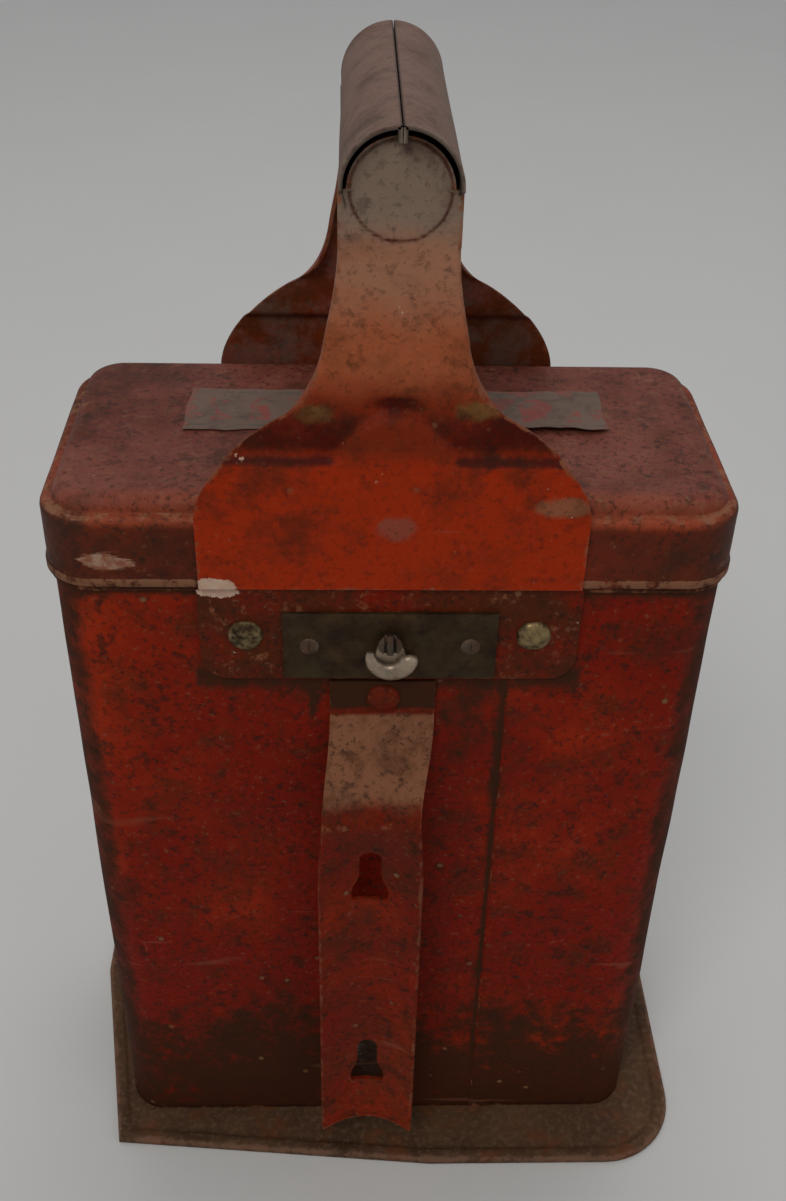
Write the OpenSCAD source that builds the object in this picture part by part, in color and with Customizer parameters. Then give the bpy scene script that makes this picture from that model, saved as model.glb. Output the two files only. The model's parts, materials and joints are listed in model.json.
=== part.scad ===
// Lockable sheet-metal lunch tin: a riveted box with a hinged lid, a carrying
// handle that rises from two plates on the lid, a turn latch behind a brass
// lock plate, and a keyholed hanger strap that stands off the front wall.
// Front (lock and strap) faces -Y.  Millimetres.

/* [Body] */
// Width of the box over its walls
body_w = 190; // [150:1:240]
// Depth of the box over its walls
body_d = 88; // [76:1:130]
// Corner radius of the box
body_corner_r = 13; // [10:1:22]
// Height of the box walls above the base plate
body_h = 256.6; // [200:0.1:320]
// Thickness of the box sheet
sheet_t = 0.8; // [0.5:0.1:1.4]
// Height of the hem folded in along the box mouth
mouth_hem_h = 6; // [4:1:8]
// Height of the turned-up edge of the floor pan
floor_flange_h = 7; // [4:1:12]
// How far the lid rest bead stands out round the box
bead_out = 1.2; // [0.8:0.1:1.4]
// Height of the lid rest bead
bead_h = 2; // [1.2:0.1:3]
// Overlap of the two ends of the box sheet at the front seam
seam_lap_w = 8; // [5:1:12]
// Distance of that seam from the centre of the front
seam_x = 39; // [34:1:44]

/* [Base plate] */
// Width of the base plate
base_w = 226; // [190:1:280]
// Depth of the base plate
base_d = 134; // [120:1:170]
// Corner radius of the base plate
base_corner_r = 28; // [15:1:35]
// Thickness of the base plate inside its hem
base_t = 2.4; // [1.5:0.1:4]
// Extra height of the folded hem over the plate
base_hem_rise = 0.8; // [0.4:0.1:1.5]
// Width of the folded hem
base_hem_w = 5; // [3:0.5:8]
// How far the bent front left corner stands in from the left side
bent_corner_in_x = 15; // [5:1:20]
// How far the bent front left corner stands in from the front
bent_corner_in_y = 10; // [4:1:10]

/* [Lid] */
// Gap between the lid skirt and the box wall
lid_gap = 0.7; // [0.6:0.1:1]
// Height of the lid skirt
skirt_h = 21.5; // [18:0.5:30]
// How far the skirt covers the box walls
skirt_overlap = 8; // [6:0.5:8.5]
// Thickness of the hem folded out along the skirt's lower edge
skirt_hem_t = 0.5; // [0.3:0.1:0.8]
// Height of that hem
skirt_hem_h = 3; // [2:0.5:5]
// Width of the ledge round the raised top
ledge_w = 3.5; // [2:0.5:6]
// Height of the raised top above the ledge
crown_h = 4.5; // [4:0.5:8]
// Rounding of the raised top's edge
crown_r = 4; // [2:0.5:4]
// Length of the paper label on the lid
label_w = 124; // [60:1:130]
// Width of the paper label
label_d = 25; // [15:1:28]
// Thickness of the paper label
label_t = 0.25; // [0.2:0.05:0.4]

/* [Handle] */
// Half width of the handle plates at the lid
plate_half_w = 53; // [46:1:60]
// Thickness of the handle plates
bracket_t = 1; // [0.8:0.1:1.5]
// Height of the grip's centre above the lid top
grip_rise = 86; // [80:1:120]
// Outer radius of the rolled grip
grip_r = 14.5; // [13:0.5:17]
// Thickness of the grip sheet
grip_t = 1; // [0.8:0.1:1.5]
// How far the grip runs past the handle plates
grip_overhang = 1; // [0.5:0.5:5]
// Width of the seam along the top of the grip
grip_seam_w = 0.5; // [0.3:0.1:1]
// Depth of the lips turned in along that seam
grip_lip_h = 4; // [2:0.5:6]
// Gap between the round head of each handle plate and the grip's bore
disc_gap = 0.9; // [0.6:0.1:3]
// How far the disc's centre lies under the grip's centre
disc_drop = 1.5; // [1:0.1:2]
// How far the neck's edges are turned back
neck_flange_w = 5; // [3:0.5:8]

/* [Lock] */
// Width of the riveted plate under the lock
mount_plate_w = 108; // [90:1:116]
// Height of the riveted plate
mount_plate_h = 32; // [28:1:40]
// Radius of its lower corners
mount_plate_r = 8; // [4:1:12]
// Thickness of the riveted plate
mount_plate_t = 1; // [0.8:0.1:1.5]
// Width of the brass lock plate
lock_plate_w = 61; // [50:1:70]
// Height of the brass lock plate
lock_plate_h = 23; // [18:1:26]
// Thickness of the brass lock plate
lock_plate_t = 1.3; // [1:0.1:2]
// Distance between the two lock screws
lock_screw_spacing = 46; // [43:1:50]
// Radius of the lock screws
lock_screw_r = 1.6; // [1.2:0.1:2]
// Gap between the lock plate's ends and the big rivets' heads
plate_rivet_gap = 5.5; // [3:0.5:7]
// Radius of the latch spindle
spindle_r = 2.5; // [2:0.1:3]
// Running clearance round spindle and hinge pin
run_gap = 0.05; // [0.02:0.01:0.08]
// Length of the cam arm behind the lock
cam_length = 20; // [16:1:22]
// Thickness of the cam arm
cam_t = 1.5; // [1:0.1:2]
// Length of the thumb lever below its pivot
thumb_length = 12.5; // [10:0.5:13]
// Distance from the front wall's inside to the catch tongue
tongue_offset = 5.2; // [5:0.1:7]

/* [Hanger strap] */
// Width of the strap
strap_w = 31; // [24:1:36]
// How far the strap stands to the right of the box's centre
strap_x = -4.2; // [-8:0.1:4]
// How far its rivet stands to the right of the box's centre
hanger_rivet_x = -1.5; // [-4:0.1:4]
// Thickness of the strap
strap_t = 1.2; // [1:0.1:2]
// Distance of the strap's edges from the wall
strap_reach = 20; // [16:0.5:22]
// Depth of the strap's hollow
strap_dish = 6.5; // [4:0.5:7]
// Height of the strap's lower end above the floor
strap_foot_z = 17; // [8:1:30]
// Gap between the strap's top and the riveted plate above it
strap_tab_gap = 1; // [0.5:0.5:6]
// Drop of the sloping part of the strap
strap_slope_drop = 29.5; // [24:0.5:40]
// Height of the strap's riveted tab
strap_tab_h = 13.5; // [12:0.5:14]
// Height of the lower keyhole's neck above the strap's foot
keyhole_low_rise = 43; // [24:1:60]
// Distance of the upper keyhole's neck below the strap's slope
keyhole_top_drop = 17.5; // [8:0.5:30]
// Radius of the keyhole's narrow neck
keyhole_neck_r = 3.5; // [3:0.1:4.5]
// Half width of the keyhole's wide foot
keyhole_foot_r = 6; // [5:0.1:7]
// Height of the whole keyhole
keyhole_h = 23; // [18:1:26]

/* [Hinge and rivets] */
// Length of the hinge
hinge_w = 72; // [50:2:90]
// Number of hinge knuckles
hinge_knuckles = 5; // [3:2:7]
// Gap between neighbouring knuckles
knuckle_gap = 0.3; // [0.2:0.1:0.6]
// Outer radius of the knuckles
knuckle_r = 2.2; // [2:0.1:2.4]
// Radius of the hinge pin
hinge_pin_r = 1.2; // [1:0.1:1.4]
// Thickness of the hinge leaves
leaf_t = 0.9; // [0.8:0.1:1]
// Gap between the knuckles and the rear handle plate
knuckle_clear = 0.4; // [0.3:0.1:0.8]
// Radius of the big domed rivet heads
big_head_r = 5; // [4:0.5:6]
// Height of the big domed rivet heads
big_head_h = 2.2; // [1.5:0.1:3]
// Radius of the big rivets' shanks
big_shank_r = 2.4; // [2:0.1:3]
// Radius of the small rivet heads
small_head_r = 2.8; // [2:0.1:3.5]
// Height of the small rivet heads
small_head_h = 1.4; // [1:0.1:2]
// Radius of the small rivets' shanks
small_shank_r = 1.5; // [1:0.1:1.8]

/* [Hidden] */
$fn = 48;
// Overshoot of cuts past a face
cut = 1;

// Box and lid
front_y = -body_d / 2;
rear_y = body_d / 2;
wall_in_y = front_y + sheet_t;
body_top_z = base_t + body_h;
skirt_z = body_top_z - skirt_overlap;
ledge_z = skirt_z + skirt_h;
lid_top_z = ledge_z + crown_h;
lid_w = body_w + 2 * (lid_gap + sheet_t);
lid_d = body_d + 2 * (lid_gap + sheet_t);
lid_corner_r = body_corner_r + lid_gap + sheet_t;
bead_gap = 0.3;
bead_z = skirt_z - bead_gap - bead_h;
floor_z = base_t;

// Handle plates stand on the skirt hem
bracket_in_y = lid_d / 2 + skirt_hem_t;
bracket_out_y = bracket_in_y + bracket_t;
grip_z = lid_top_z + grip_rise;
disc_z = grip_z - disc_drop;
disc_r = grip_r - grip_t - disc_gap;
disc_hole_r = 0.8;
disc_hole_rise = disc_r - 3.5;
neck_half_w = grip_r + 0.1;
shoulder_z = ledge_z + 0.5;
shoulder_bulge = 9;
neck_root_z = lid_top_z + 26;
neck_taper_h = 20;
neck_low_z = neck_root_z + neck_taper_h;
neck_top_z = grip_z - grip_r;

// Lock
mount_skirt_gap = 1;
mount_top_z = skirt_z - mount_skirt_gap;
mount_low_z = mount_top_z - mount_plate_h;
mount_plate_z = mount_top_z - mount_plate_h / 2;
mount_out_y = front_y - mount_plate_t;
lock_drop = 3.2;
lock_z = mount_plate_z - lock_drop;
plate_rivet_x = lock_plate_w / 2 + plate_rivet_gap + big_head_r;
lock_out_y = mount_out_y - lock_plate_t;
pivot_rise = 2.5;
pivot_z = lock_z + pivot_rise;
spindle_hole_r = spindle_r + run_gap;
backing_t = 1;
backing_w = lock_plate_w - 5;
backing_in_y = wall_in_y + backing_t;
washer_t = 0.8;
tongue_t = 1;
tongue_y = wall_in_y + tongue_offset;
cam_gap = 0.5;
cam_y = tongue_y + tongue_t + cam_gap;
cam_half_w = 3;
cam_root_r = 5;
nut_r = 4.6;
nut_t = 2;
tongue_low_x = 9;
tongue_w = 11;
lip_gap = 0.8;
lip_t = 1.5;
lip_top_z = pivot_z - cam_half_w - lip_gap;
lip_reach = cam_t + 2;
tongue_foot_l = 14;
lever_gap = 0.3;
lever_t = 1.6;
lever_y = lock_out_y - lever_gap;
lever_half_w = 8;

// Strap
strap_edge_y = front_y - strap_reach;
strap_mid_y = strap_edge_y + strap_dish;
strap_curve_r = (strap_w * strap_w / 4 + strap_dish * strap_dish) / (2 * strap_dish);
strap_axis_y = strap_mid_y - strap_curve_r;
strap_top_z = mount_low_z - strap_tab_gap;
strap_bend_z = strap_top_z - strap_tab_h;
strap_slope_z = strap_bend_z - strap_slope_drop;
keyhole_low_z = strap_foot_z + keyhole_low_rise;
keyhole_high_z = strap_slope_z - keyhole_top_drop;
hanger_rivet_z = strap_bend_z + strap_tab_h / 2 + 0.5;

// Hinge
hinge_y = bracket_out_y + knuckle_clear + knuckle_r;
hinge_z = skirt_z;
knuckle_w = hinge_w / hinge_knuckles;
leaf_clear = knuckle_r + knuckle_clear;
body_leaf_h = 24;
leaf_joggle_h = 8.5;
leaf_joggle_z = hinge_z - leaf_joggle_h;
lid_leaf_top_z = ledge_z - 1;
hinge_rivet_x = 26;
body_rivet_z = hinge_z - 20;
lid_rivet_z = body_top_z + 5;
tail_h = 1.2;

// Colours
paint_red = [0.50, 0.16, 0.08];
lid_brown = [0.42, 0.24, 0.20];
rust_brown = [0.33, 0.24, 0.18];
old_brass = [0.42, 0.38, 0.22];
bare_steel = [0.55, 0.52, 0.46];
grip_brown = [0.40, 0.32, 0.28];
faded_paper = [0.45, 0.45, 0.40];

// --- Shared shapes ---------------------------------------------------------

// Flat rectangle with round corners
module rounded_rect(w, d, r) {
  square([w - 2 * r, d], center = true);
  square([w, d - 2 * r], center = true);
  for (sx = [-1, 1], sy = [-1, 1])
    translate([sx * (w / 2 - r), sy * (d / 2 - r)]) circle(r = r);
}

// Upright prism of that outline
module prism(w, d, r, z, h) {
  translate([0, 0, z]) linear_extrude(height = h) rounded_rect(w, d, r);
}

// The same prism with its top edge rounded
module crowned_prism(w, d, r, z, h, edge_r) {
  prism(w, d, r, z, h - edge_r);
  prism(w - 2 * edge_r, d - 2 * edge_r, r - edge_r, z, h);
  for (sx = [-1, 1], sy = [-1, 1])
    translate([sx * (w / 2 - r), sy * (d / 2 - r), z + h - edge_r])
      rotate_extrude() translate([r - edge_r, 0]) circle(r = edge_r);
  for (sy = [-1, 1])
    translate([-(w / 2 - r), sy * (d / 2 - edge_r), z + h - edge_r])
      rotate([0, 90, 0]) cylinder(r = edge_r, h = w - 2 * r);
  for (sx = [-1, 1])
    translate([sx * (w / 2 - edge_r), -(d / 2 - r), z + h - edge_r])
      rotate([-90, 0, 0]) cylinder(r = edge_r, h = d - 2 * r);
}

// Cylinder along +Y from y0 to y1
module y_rod(x, z, r, y0, y1) {
  translate([x, y0, z]) rotate([-90, 0, 0]) cylinder(r = r, h = y1 - y0);
}

// Domed head whose flat side lies at y and which bulges towards dir
module dome(x, z, y, r, h, dir) {
  ball_r = (r * r + h * h) / (2 * h);
  intersection() {
    translate([x, y + dir * (h - ball_r), z]) sphere(r = ball_r);
    translate([x - r, dir > 0 ? y : y - h - cut, z - r]) cube([2 * r, h + cut, 2 * r]);
  }
}

// Rivet along Y: domed head at head_y, small upset tail at tail_y
module y_rivet(x, z, head_y, tail_y, head_r, head_h, shank_r) {
  dir = head_y > tail_y ? 1 : -1;
  dome(x, z, head_y, head_r, head_h, dir);
  y_rod(x, z, shank_r, min(head_y, tail_y), max(head_y, tail_y));
  y_rod(x, z, shank_r * 1.5, min(tail_y, tail_y - dir * tail_h), max(tail_y, tail_y - dir * tail_h));
}

// Sheet drawn in the XZ plane and standing between two Y values
module xz_sheet(y0, y1) {
  translate([0, y1, 0]) rotate([90, 0, 0]) linear_extrude(height = y1 - y0) children();
}

// Profile drawn in the YZ plane and running along X
module yz_bar(x0, x1) {
  translate([x0, 0, 0]) rotate([90, 0, 90]) linear_extrude(height = x1 - x0) children();
}

// Point on a cubic curve
function bezier(p, t) =
  pow(1 - t, 3) * p[0] + 3 * pow(1 - t, 2) * t * p[1]
  + 3 * (1 - t) * t * t * p[2] + t * t * t * p[3];

// Run of points along a cubic curve, without its last point
function curve(p, steps) = [for (i = [0 : steps - 1]) bezier(p, i / steps)];

function flip(points) =
  [for (i = [len(points) - 1 : -1 : 0]) [-points[i][0], points[i][1]]];

// --- Base ------------------------------------------------------------------

module base_outline(inset) {
  half_w = base_w / 2;
  half_d = base_d / 2;
  bent = [-half_w + bent_corner_in_x + inset, -half_d + bent_corner_in_y + inset];
  intersection() {
    rounded_rect(base_w - 2 * inset, base_d - 2 * inset, base_corner_r - inset);
    polygon([
      [-half_w + inset, half_d], [half_w, half_d], [half_w, -half_d],
      [half_w / 6, -half_d + inset], bent, [-half_w + inset, half_d / 3]
    ]);
  }
}

base_rivet_x = body_w / 2 - body_corner_r - 4;
base_rivet_y = body_d / 2 - body_corner_r;

module base_plate() {
  color(rust_brown) difference() {
    union() {
      linear_extrude(height = base_t) base_outline(0);
      linear_extrude(height = base_t + base_hem_rise) difference() {
        base_outline(0);
        base_outline(base_hem_w);
      }
    }
    for (sx = [-1, 1], sy = [-1, 1])
      translate([sx * base_rivet_x, sy * base_rivet_y, -cut])
        cylinder(r = small_shank_r, h = base_t + 2 * cut);
  }
}

// Flush below, domed inside the box
module base_rivets() {
  head_z = floor_z + sheet_t;
  ball_r = (small_head_r * small_head_r + small_head_h * small_head_h) / (2 * small_head_h);
  color(bare_steel)
    for (sx = [-1, 1], sy = [-1, 1])
      translate([sx * base_rivet_x, sy * base_rivet_y, 0]) {
        cylinder(r = small_shank_r, h = head_z);
        intersection() {
          translate([0, 0, head_z + small_head_h - ball_r]) sphere(r = ball_r);
          translate([0, 0, head_z]) cylinder(r = small_head_r, h = small_head_h + cut);
        }
      }
}

// --- Box -------------------------------------------------------------------

module body_wall_cuts() {
  for (sx = [-1, 1])
    y_rod(sx * plate_rivet_x, mount_plate_z, big_shank_r, front_y - cut, wall_in_y + cut);
  for (sx = [-1, 1])
    y_rod(sx * lock_screw_spacing / 2, lock_z, lock_screw_r, front_y - cut, wall_in_y + cut);
  y_rod(0, pivot_z, spindle_hole_r, front_y - cut, wall_in_y + cut);
  y_rod(hanger_rivet_x, hanger_rivet_z, big_shank_r, front_y - cut, wall_in_y + cut);
  for (x = [-hinge_rivet_x, 0, hinge_rivet_x])
    y_rod(x, body_rivet_z, small_shank_r, rear_y - sheet_t - cut, rear_y + cut);
}

module body_shell() {
  inner_w = body_w - 2 * sheet_t;
  inner_d = body_d - 2 * sheet_t;
  inner_r = body_corner_r - sheet_t;
  color(paint_red) difference() {
    union() {
      prism(body_w, body_d, body_corner_r, floor_z, body_h);
      difference() {
        prism(body_w + 2 * bead_out, body_d + 2 * bead_out, body_corner_r + bead_out, bead_z, bead_h);
        translate([-mount_plate_w / 2 - 1, front_y - 3, bead_z - cut])
          cube([mount_plate_w + 2, 3, bead_h + 2 * cut]);
        translate([-hinge_w / 2 - 1, rear_y, bead_z - cut])
          cube([hinge_w + 2, 3, bead_h + 2 * cut]);
      }
      translate([seam_x - seam_lap_w / 2, front_y - sheet_t / 2, floor_z + 2])
        cube([seam_lap_w, sheet_t, mount_low_z - floor_z - 4]);
    }
    prism(inner_w - 2 * sheet_t, inner_d - 2 * sheet_t, inner_r - sheet_t, floor_z - cut, body_h + 2 * cut);
    prism(inner_w, inner_d, inner_r, floor_z - cut, body_h - mouth_hem_h + cut);
    body_wall_cuts();
  }
}

module body_floor() {
  w = body_w - 2 * sheet_t;
  d = body_d - 2 * sheet_t;
  r = body_corner_r - sheet_t;
  color(rust_brown) difference() {
    prism(w, d, r, floor_z, floor_flange_h);
    prism(w - 2 * sheet_t, d - 2 * sheet_t, r - sheet_t, floor_z + sheet_t, floor_flange_h);
    for (sx = [-1, 1], sy = [-1, 1])
      translate([sx * base_rivet_x, sy * base_rivet_y, floor_z - cut])
        cylinder(r = small_shank_r, h = sheet_t + 2 * cut);
  }
}

// --- Lock plates and fasteners ------------------------------------------------

module mount_plate_outline() {
  half_w = mount_plate_w / 2;
  translate([-half_w, mount_low_z + mount_plate_r]) square([mount_plate_w, mount_plate_h - mount_plate_r]);
  translate([-half_w + mount_plate_r, mount_low_z]) square([mount_plate_w - 2 * mount_plate_r, mount_plate_r]);
  for (sx = [-1, 1])
    translate([sx * (half_w - mount_plate_r), mount_low_z + mount_plate_r]) circle(r = mount_plate_r);
}

module lock_mount_plate() {
  color(paint_red) difference() {
    xz_sheet(mount_out_y, front_y) mount_plate_outline();
    for (sx = [-1, 1])
      y_rod(sx * plate_rivet_x, mount_plate_z, big_shank_r, mount_out_y - cut, front_y + cut);
    for (sx = [-1, 1])
      y_rod(sx * lock_screw_spacing / 2, lock_z, lock_screw_r, mount_out_y - cut, front_y + cut);
    y_rod(0, pivot_z, spindle_hole_r, mount_out_y - cut, front_y + cut);
  }
}

module plate_rivets() {
  color(old_brass)
    for (sx = [-1, 1])
      y_rivet(sx * plate_rivet_x, mount_plate_z, mount_out_y, wall_in_y + tail_h,
              big_head_r, big_head_h, big_shank_r);
}

module lock_plate() {
  color(old_brass) difference() {
    translate([-lock_plate_w / 2, lock_out_y, lock_z - lock_plate_h / 2])
      cube([lock_plate_w, lock_plate_t, lock_plate_h]);
    for (sx = [-1, 1])
      y_rod(sx * lock_screw_spacing / 2, lock_z, lock_screw_r, lock_out_y - cut, mount_out_y + cut);
    y_rod(0, pivot_z, spindle_hole_r, lock_out_y - cut, mount_out_y + cut);
  }
}

module lock_screws() {
  head_r = lock_screw_r * 1.75;
  head_h = 0.9;
  slot_w = 0.6;
  color(bare_steel)
    for (sx = [-1, 1]) difference() {
      union() {
        dome(sx * lock_screw_spacing / 2, lock_z, lock_out_y, head_r, head_h, -1);
        y_rod(sx * lock_screw_spacing / 2, lock_z, lock_screw_r, lock_out_y, backing_in_y + tail_h);
      }
      translate([sx * lock_screw_spacing / 2 - slot_w / 2, lock_out_y - head_h - cut, lock_z - head_r])
        cube([slot_w, cut + head_h * 0.6, 2 * head_r]);
    }
}

module lock_backing_plate() {
  color(bare_steel) difference() {
    translate([-backing_w / 2, wall_in_y, lock_z - lock_plate_h / 2])
      cube([backing_w, backing_t, lock_plate_h]);
    for (sx = [-1, 1])
      y_rod(sx * lock_screw_spacing / 2, lock_z, lock_screw_r, wall_in_y - cut, backing_in_y + cut);
    y_rod(0, pivot_z, spindle_hole_r, wall_in_y - cut, backing_in_y + cut);
  }
}

module spring_washer() {
  color(bare_steel) difference() {
    y_rod(0, pivot_z, spindle_r * 2, backing_in_y, backing_in_y + washer_t);
    y_rod(0, pivot_z, spindle_hole_r, backing_in_y - cut, backing_in_y + washer_t + cut);
  }
}

// --- Turn latch ---------------------------------------------------------------

spindle_head_t = 1.2;
spindle_shoulder_y = backing_in_y + washer_t + 0.3;

module latch_spindle() {
  color(bare_steel) {
    y_rod(0, pivot_z, spindle_r, lever_y - lever_t, cam_y + cam_t + nut_t);
    y_rod(0, pivot_z, spindle_r * 1.4, lever_y - lever_t - spindle_head_t, lever_y - lever_t);
    y_rod(0, pivot_z, spindle_r * 1.6, spindle_shoulder_y, cam_y);
  }
}

// Drop-shaped blade that hangs below its pivot at rest
module lever_outline() {
  blade_z = -thumb_length + lever_half_w / 2;
  circle(r = spindle_r * 1.5);
  translate([-spindle_r, -thumb_length / 2]) square([2 * spindle_r, thumb_length / 2]);
  intersection() {
    translate([0, blade_z + lever_half_w / 2]) circle(r = lever_half_w);
    translate([-lever_half_w, -thumb_length - 1]) square([2 * lever_half_w, thumb_length - spindle_r]);
  }
}

module thumb_lever() {
  lip_out = 2.6;
  color(bare_steel) difference() {
    union() {
      translate([0, 0, pivot_z]) xz_sheet(lever_y - lever_t, lever_y) lever_outline();
      translate([0, 0, pivot_z]) xz_sheet(lever_y - lever_t - lip_out, lever_y - lever_t)
        intersection() {
          lever_outline();
          translate([-lever_half_w, -thumb_length]) square([2 * lever_half_w, 4]);
        }
    }
    y_rod(0, pivot_z, spindle_r, lever_y - lever_t - cut, lever_y + cut);
  }
}

module cam_arm() {
  color(bare_steel) difference() {
    translate([0, 0, pivot_z]) xz_sheet(cam_y, cam_y + cam_t) {
      circle(r = cam_root_r);
      translate([-cam_half_w, 0]) square([2 * cam_half_w, cam_length - cam_half_w]);
      translate([0, cam_length - cam_half_w]) circle(r = cam_half_w);
    }
    y_rod(0, pivot_z, spindle_r, cam_y - cut, cam_y + cam_t + cut);
  }
}

module spindle_nut() {
  color(bare_steel) difference() {
    translate([0, cam_y + cam_t, pivot_z]) rotate([-90, 0, 0]) cylinder(r = nut_r, h = nut_t, $fn = 6);
    y_rod(0, pivot_z, spindle_r, cam_y + cam_t - cut, cam_y + cam_t + nut_t + cut);
  }
}

// --- Hanger strap -------------------------------------------------------------

module keyhole(z) {
  foot_z = z + keyhole_neck_r - keyhole_h;
  y0 = strap_edge_y - cut;
  depth = strap_reach;
  y_rod(0, z, keyhole_neck_r, y0, y0 + depth);
  translate([-keyhole_neck_r, y0, foot_z + keyhole_foot_r])
    cube([2 * keyhole_neck_r, depth, z - foot_z - keyhole_foot_r]);
  intersection() {
    y_rod(0, foot_z + keyhole_foot_r / 2, keyhole_foot_r * 1.1, y0, y0 + depth);
    translate([-keyhole_foot_r, y0, foot_z]) cube([2 * keyhole_foot_r, depth, 2 * keyhole_foot_r]);
  }
}

// Tab and slope seen from the side, in sheet of thickness t
module strap_side(t) {
  polygon([
    [front_y, strap_top_z], [front_y - t, strap_top_z],
    [front_y - t, strap_bend_z], [strap_edge_y - t, strap_slope_z],
    [strap_edge_y - t, strap_slope_z - 2 * t], [front_y, strap_bend_z - t]
  ]);
}

module hanger_strap() {
  half_w = strap_w / 2;
  color(paint_red) translate([strap_x, 0, 0]) difference() {
    union() {
      // tab and slope, trimmed to the hollow of the upright part
      difference() {
        yz_bar(-half_w, half_w) strap_side(strap_t);
        translate([0, strap_axis_y, 0]) cylinder(r = strap_curve_r, h = strap_bend_z);
      }
      // upright part, a sector of a tube, trimmed by the slope
      intersection() {
        difference() {
          translate([0, strap_axis_y, strap_foot_z])
            cylinder(r = strap_curve_r + strap_t, h = strap_bend_z - strap_foot_z);
          translate([0, strap_axis_y, strap_foot_z - cut])
            cylinder(r = strap_curve_r, h = strap_bend_z);
        }
        yz_bar(-half_w, half_w) polygon([
          [front_y - 1, strap_foot_z], [strap_edge_y - cut, strap_foot_z],
          [strap_edge_y - cut, strap_slope_z], [strap_edge_y - strap_t, strap_slope_z],
          [front_y - strap_t, strap_bend_z], [front_y - 1, strap_bend_z]
        ]);
      }
    }
    keyhole(keyhole_low_z);
    keyhole(keyhole_high_z);
    y_rod(hanger_rivet_x - strap_x, hanger_rivet_z, big_shank_r, front_y - strap_t - cut, front_y + cut);
  }
}

module hanger_rivet() {
  color(paint_red)
    y_rivet(hanger_rivet_x, hanger_rivet_z, front_y - strap_t, wall_in_y + tail_h,
            big_head_r, big_head_h, big_shank_r);
}

// --- Hinge ----------------------------------------------------------------------

// One knuckle, number i counted from -X
module knuckle(i) {
  x0 = -hinge_w / 2 + i * knuckle_w + knuckle_gap / 2;
  translate([x0, hinge_y, hinge_z]) rotate([0, 90, 0])
    cylinder(r = knuckle_r, h = knuckle_w - knuckle_gap);
}

module pin_bore() {
  translate([-hinge_w / 2 - cut, hinge_y, hinge_z]) rotate([0, 90, 0])
    cylinder(r = hinge_pin_r + run_gap, h = hinge_w + 2 * cut);
}

module hinge_body_leaf() {
  tab_y = hinge_y - knuckle_r;
  color(paint_red) difference() {
    union() {
      yz_bar(-hinge_w / 2, hinge_w / 2) polygon([
        [rear_y, hinge_z - body_leaf_h], [rear_y + leaf_t, hinge_z - body_leaf_h],
        [rear_y + leaf_t, leaf_joggle_z], [tab_y + leaf_t, hinge_z - leaf_clear - leaf_t],
        [tab_y + leaf_t, hinge_z - leaf_clear], [tab_y, hinge_z - leaf_clear],
        [tab_y, hinge_z - leaf_clear - leaf_t / 2], [rear_y, leaf_joggle_z + leaf_t / 2]
      ]);
      for (i = [0 : 2 : hinge_knuckles - 1]) {
        knuckle(i);
        translate([-hinge_w / 2 + i * knuckle_w + knuckle_gap / 2, tab_y, hinge_z - leaf_clear])
          cube([knuckle_w - knuckle_gap, leaf_t, leaf_clear]);
      }
    }
    pin_bore();
    for (x = [-hinge_rivet_x, 0, hinge_rivet_x])
      y_rod(x, body_rivet_z, small_shank_r, rear_y - cut, rear_y + leaf_t + cut);
  }
}

module hinge_lid_leaf() {
  color(paint_red) difference() {
    union() {
      translate([-hinge_w / 2, bracket_out_y, hinge_z + leaf_clear])
        cube([hinge_w, leaf_t, lid_leaf_top_z - hinge_z - leaf_clear]);
      for (i = [1 : 2 : hinge_knuckles - 1]) {
        knuckle(i);
        translate([-hinge_w / 2 + i * knuckle_w + knuckle_gap / 2, bracket_out_y, hinge_z])
          cube([knuckle_w - knuckle_gap, leaf_t, leaf_clear]);
      }
    }
    pin_bore();
    for (x = [-hinge_rivet_x, 0, hinge_rivet_x])
      y_rod(x, lid_rivet_z, small_shank_r, bracket_out_y - cut, bracket_out_y + leaf_t + cut);
  }
}

module hinge_pin() {
  color(bare_steel) translate([-hinge_w / 2 - 1, hinge_y, hinge_z]) rotate([0, 90, 0]) {
    cylinder(r = hinge_pin_r, h = hinge_w + 2);
    cylinder(r = hinge_pin_r * 1.4, h = 1);
    translate([0, 0, hinge_w + 1]) cylinder(r = hinge_pin_r * 1.4, h = 1);
  }
}

module hinge_body_rivets() {
  color(paint_red)
    for (x = [-hinge_rivet_x, 0, hinge_rivet_x])
      y_rivet(x, body_rivet_z, rear_y + leaf_t, rear_y - sheet_t - tail_h,
              small_head_r, small_head_h, small_shank_r);
}

module hinge_lid_rivets() {
  color(paint_red)
    for (x = [-hinge_rivet_x, 0, hinge_rivet_x])
      y_rivet(x, lid_rivet_z, bracket_out_y + leaf_t, lid_d / 2 - sheet_t - tail_h,
              small_head_r, small_head_h, small_shank_r);
}

// --- Lid -------------------------------------------------------------------------

// Outside of the lid, or with inset its inside
module lid_solid(inset) {
  prism(lid_w - 2 * inset, lid_d - 2 * inset, lid_corner_r - inset, skirt_z - (inset > 0 ? cut : 0),
        skirt_h - inset + (inset > 0 ? cut : 0));
  crowned_prism(lid_w - 2 * (ledge_w + inset), lid_d - 2 * (ledge_w + inset),
                lid_corner_r - ledge_w - inset, skirt_z,
                skirt_h + crown_h - inset, crown_r - inset);
}

module lid_shell() {
  hem_w = lid_w + 2 * skirt_hem_t;
  hem_d = lid_d + 2 * skirt_hem_t;
  color(lid_brown) difference() {
    union() {
      lid_solid(0);
      prism(hem_w, hem_d, lid_corner_r + skirt_hem_t, skirt_z, skirt_hem_h);
    }
    lid_solid(sheet_t);
    for (x = [-hinge_rivet_x, 0, hinge_rivet_x])
      y_rod(x, lid_rivet_z, small_shank_r, lid_d / 2 - sheet_t - cut, lid_d / 2 + cut);
  }
}

// Paper label glued on the lid, a little off centre
label_x = 2;
label_y = 9;

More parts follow.
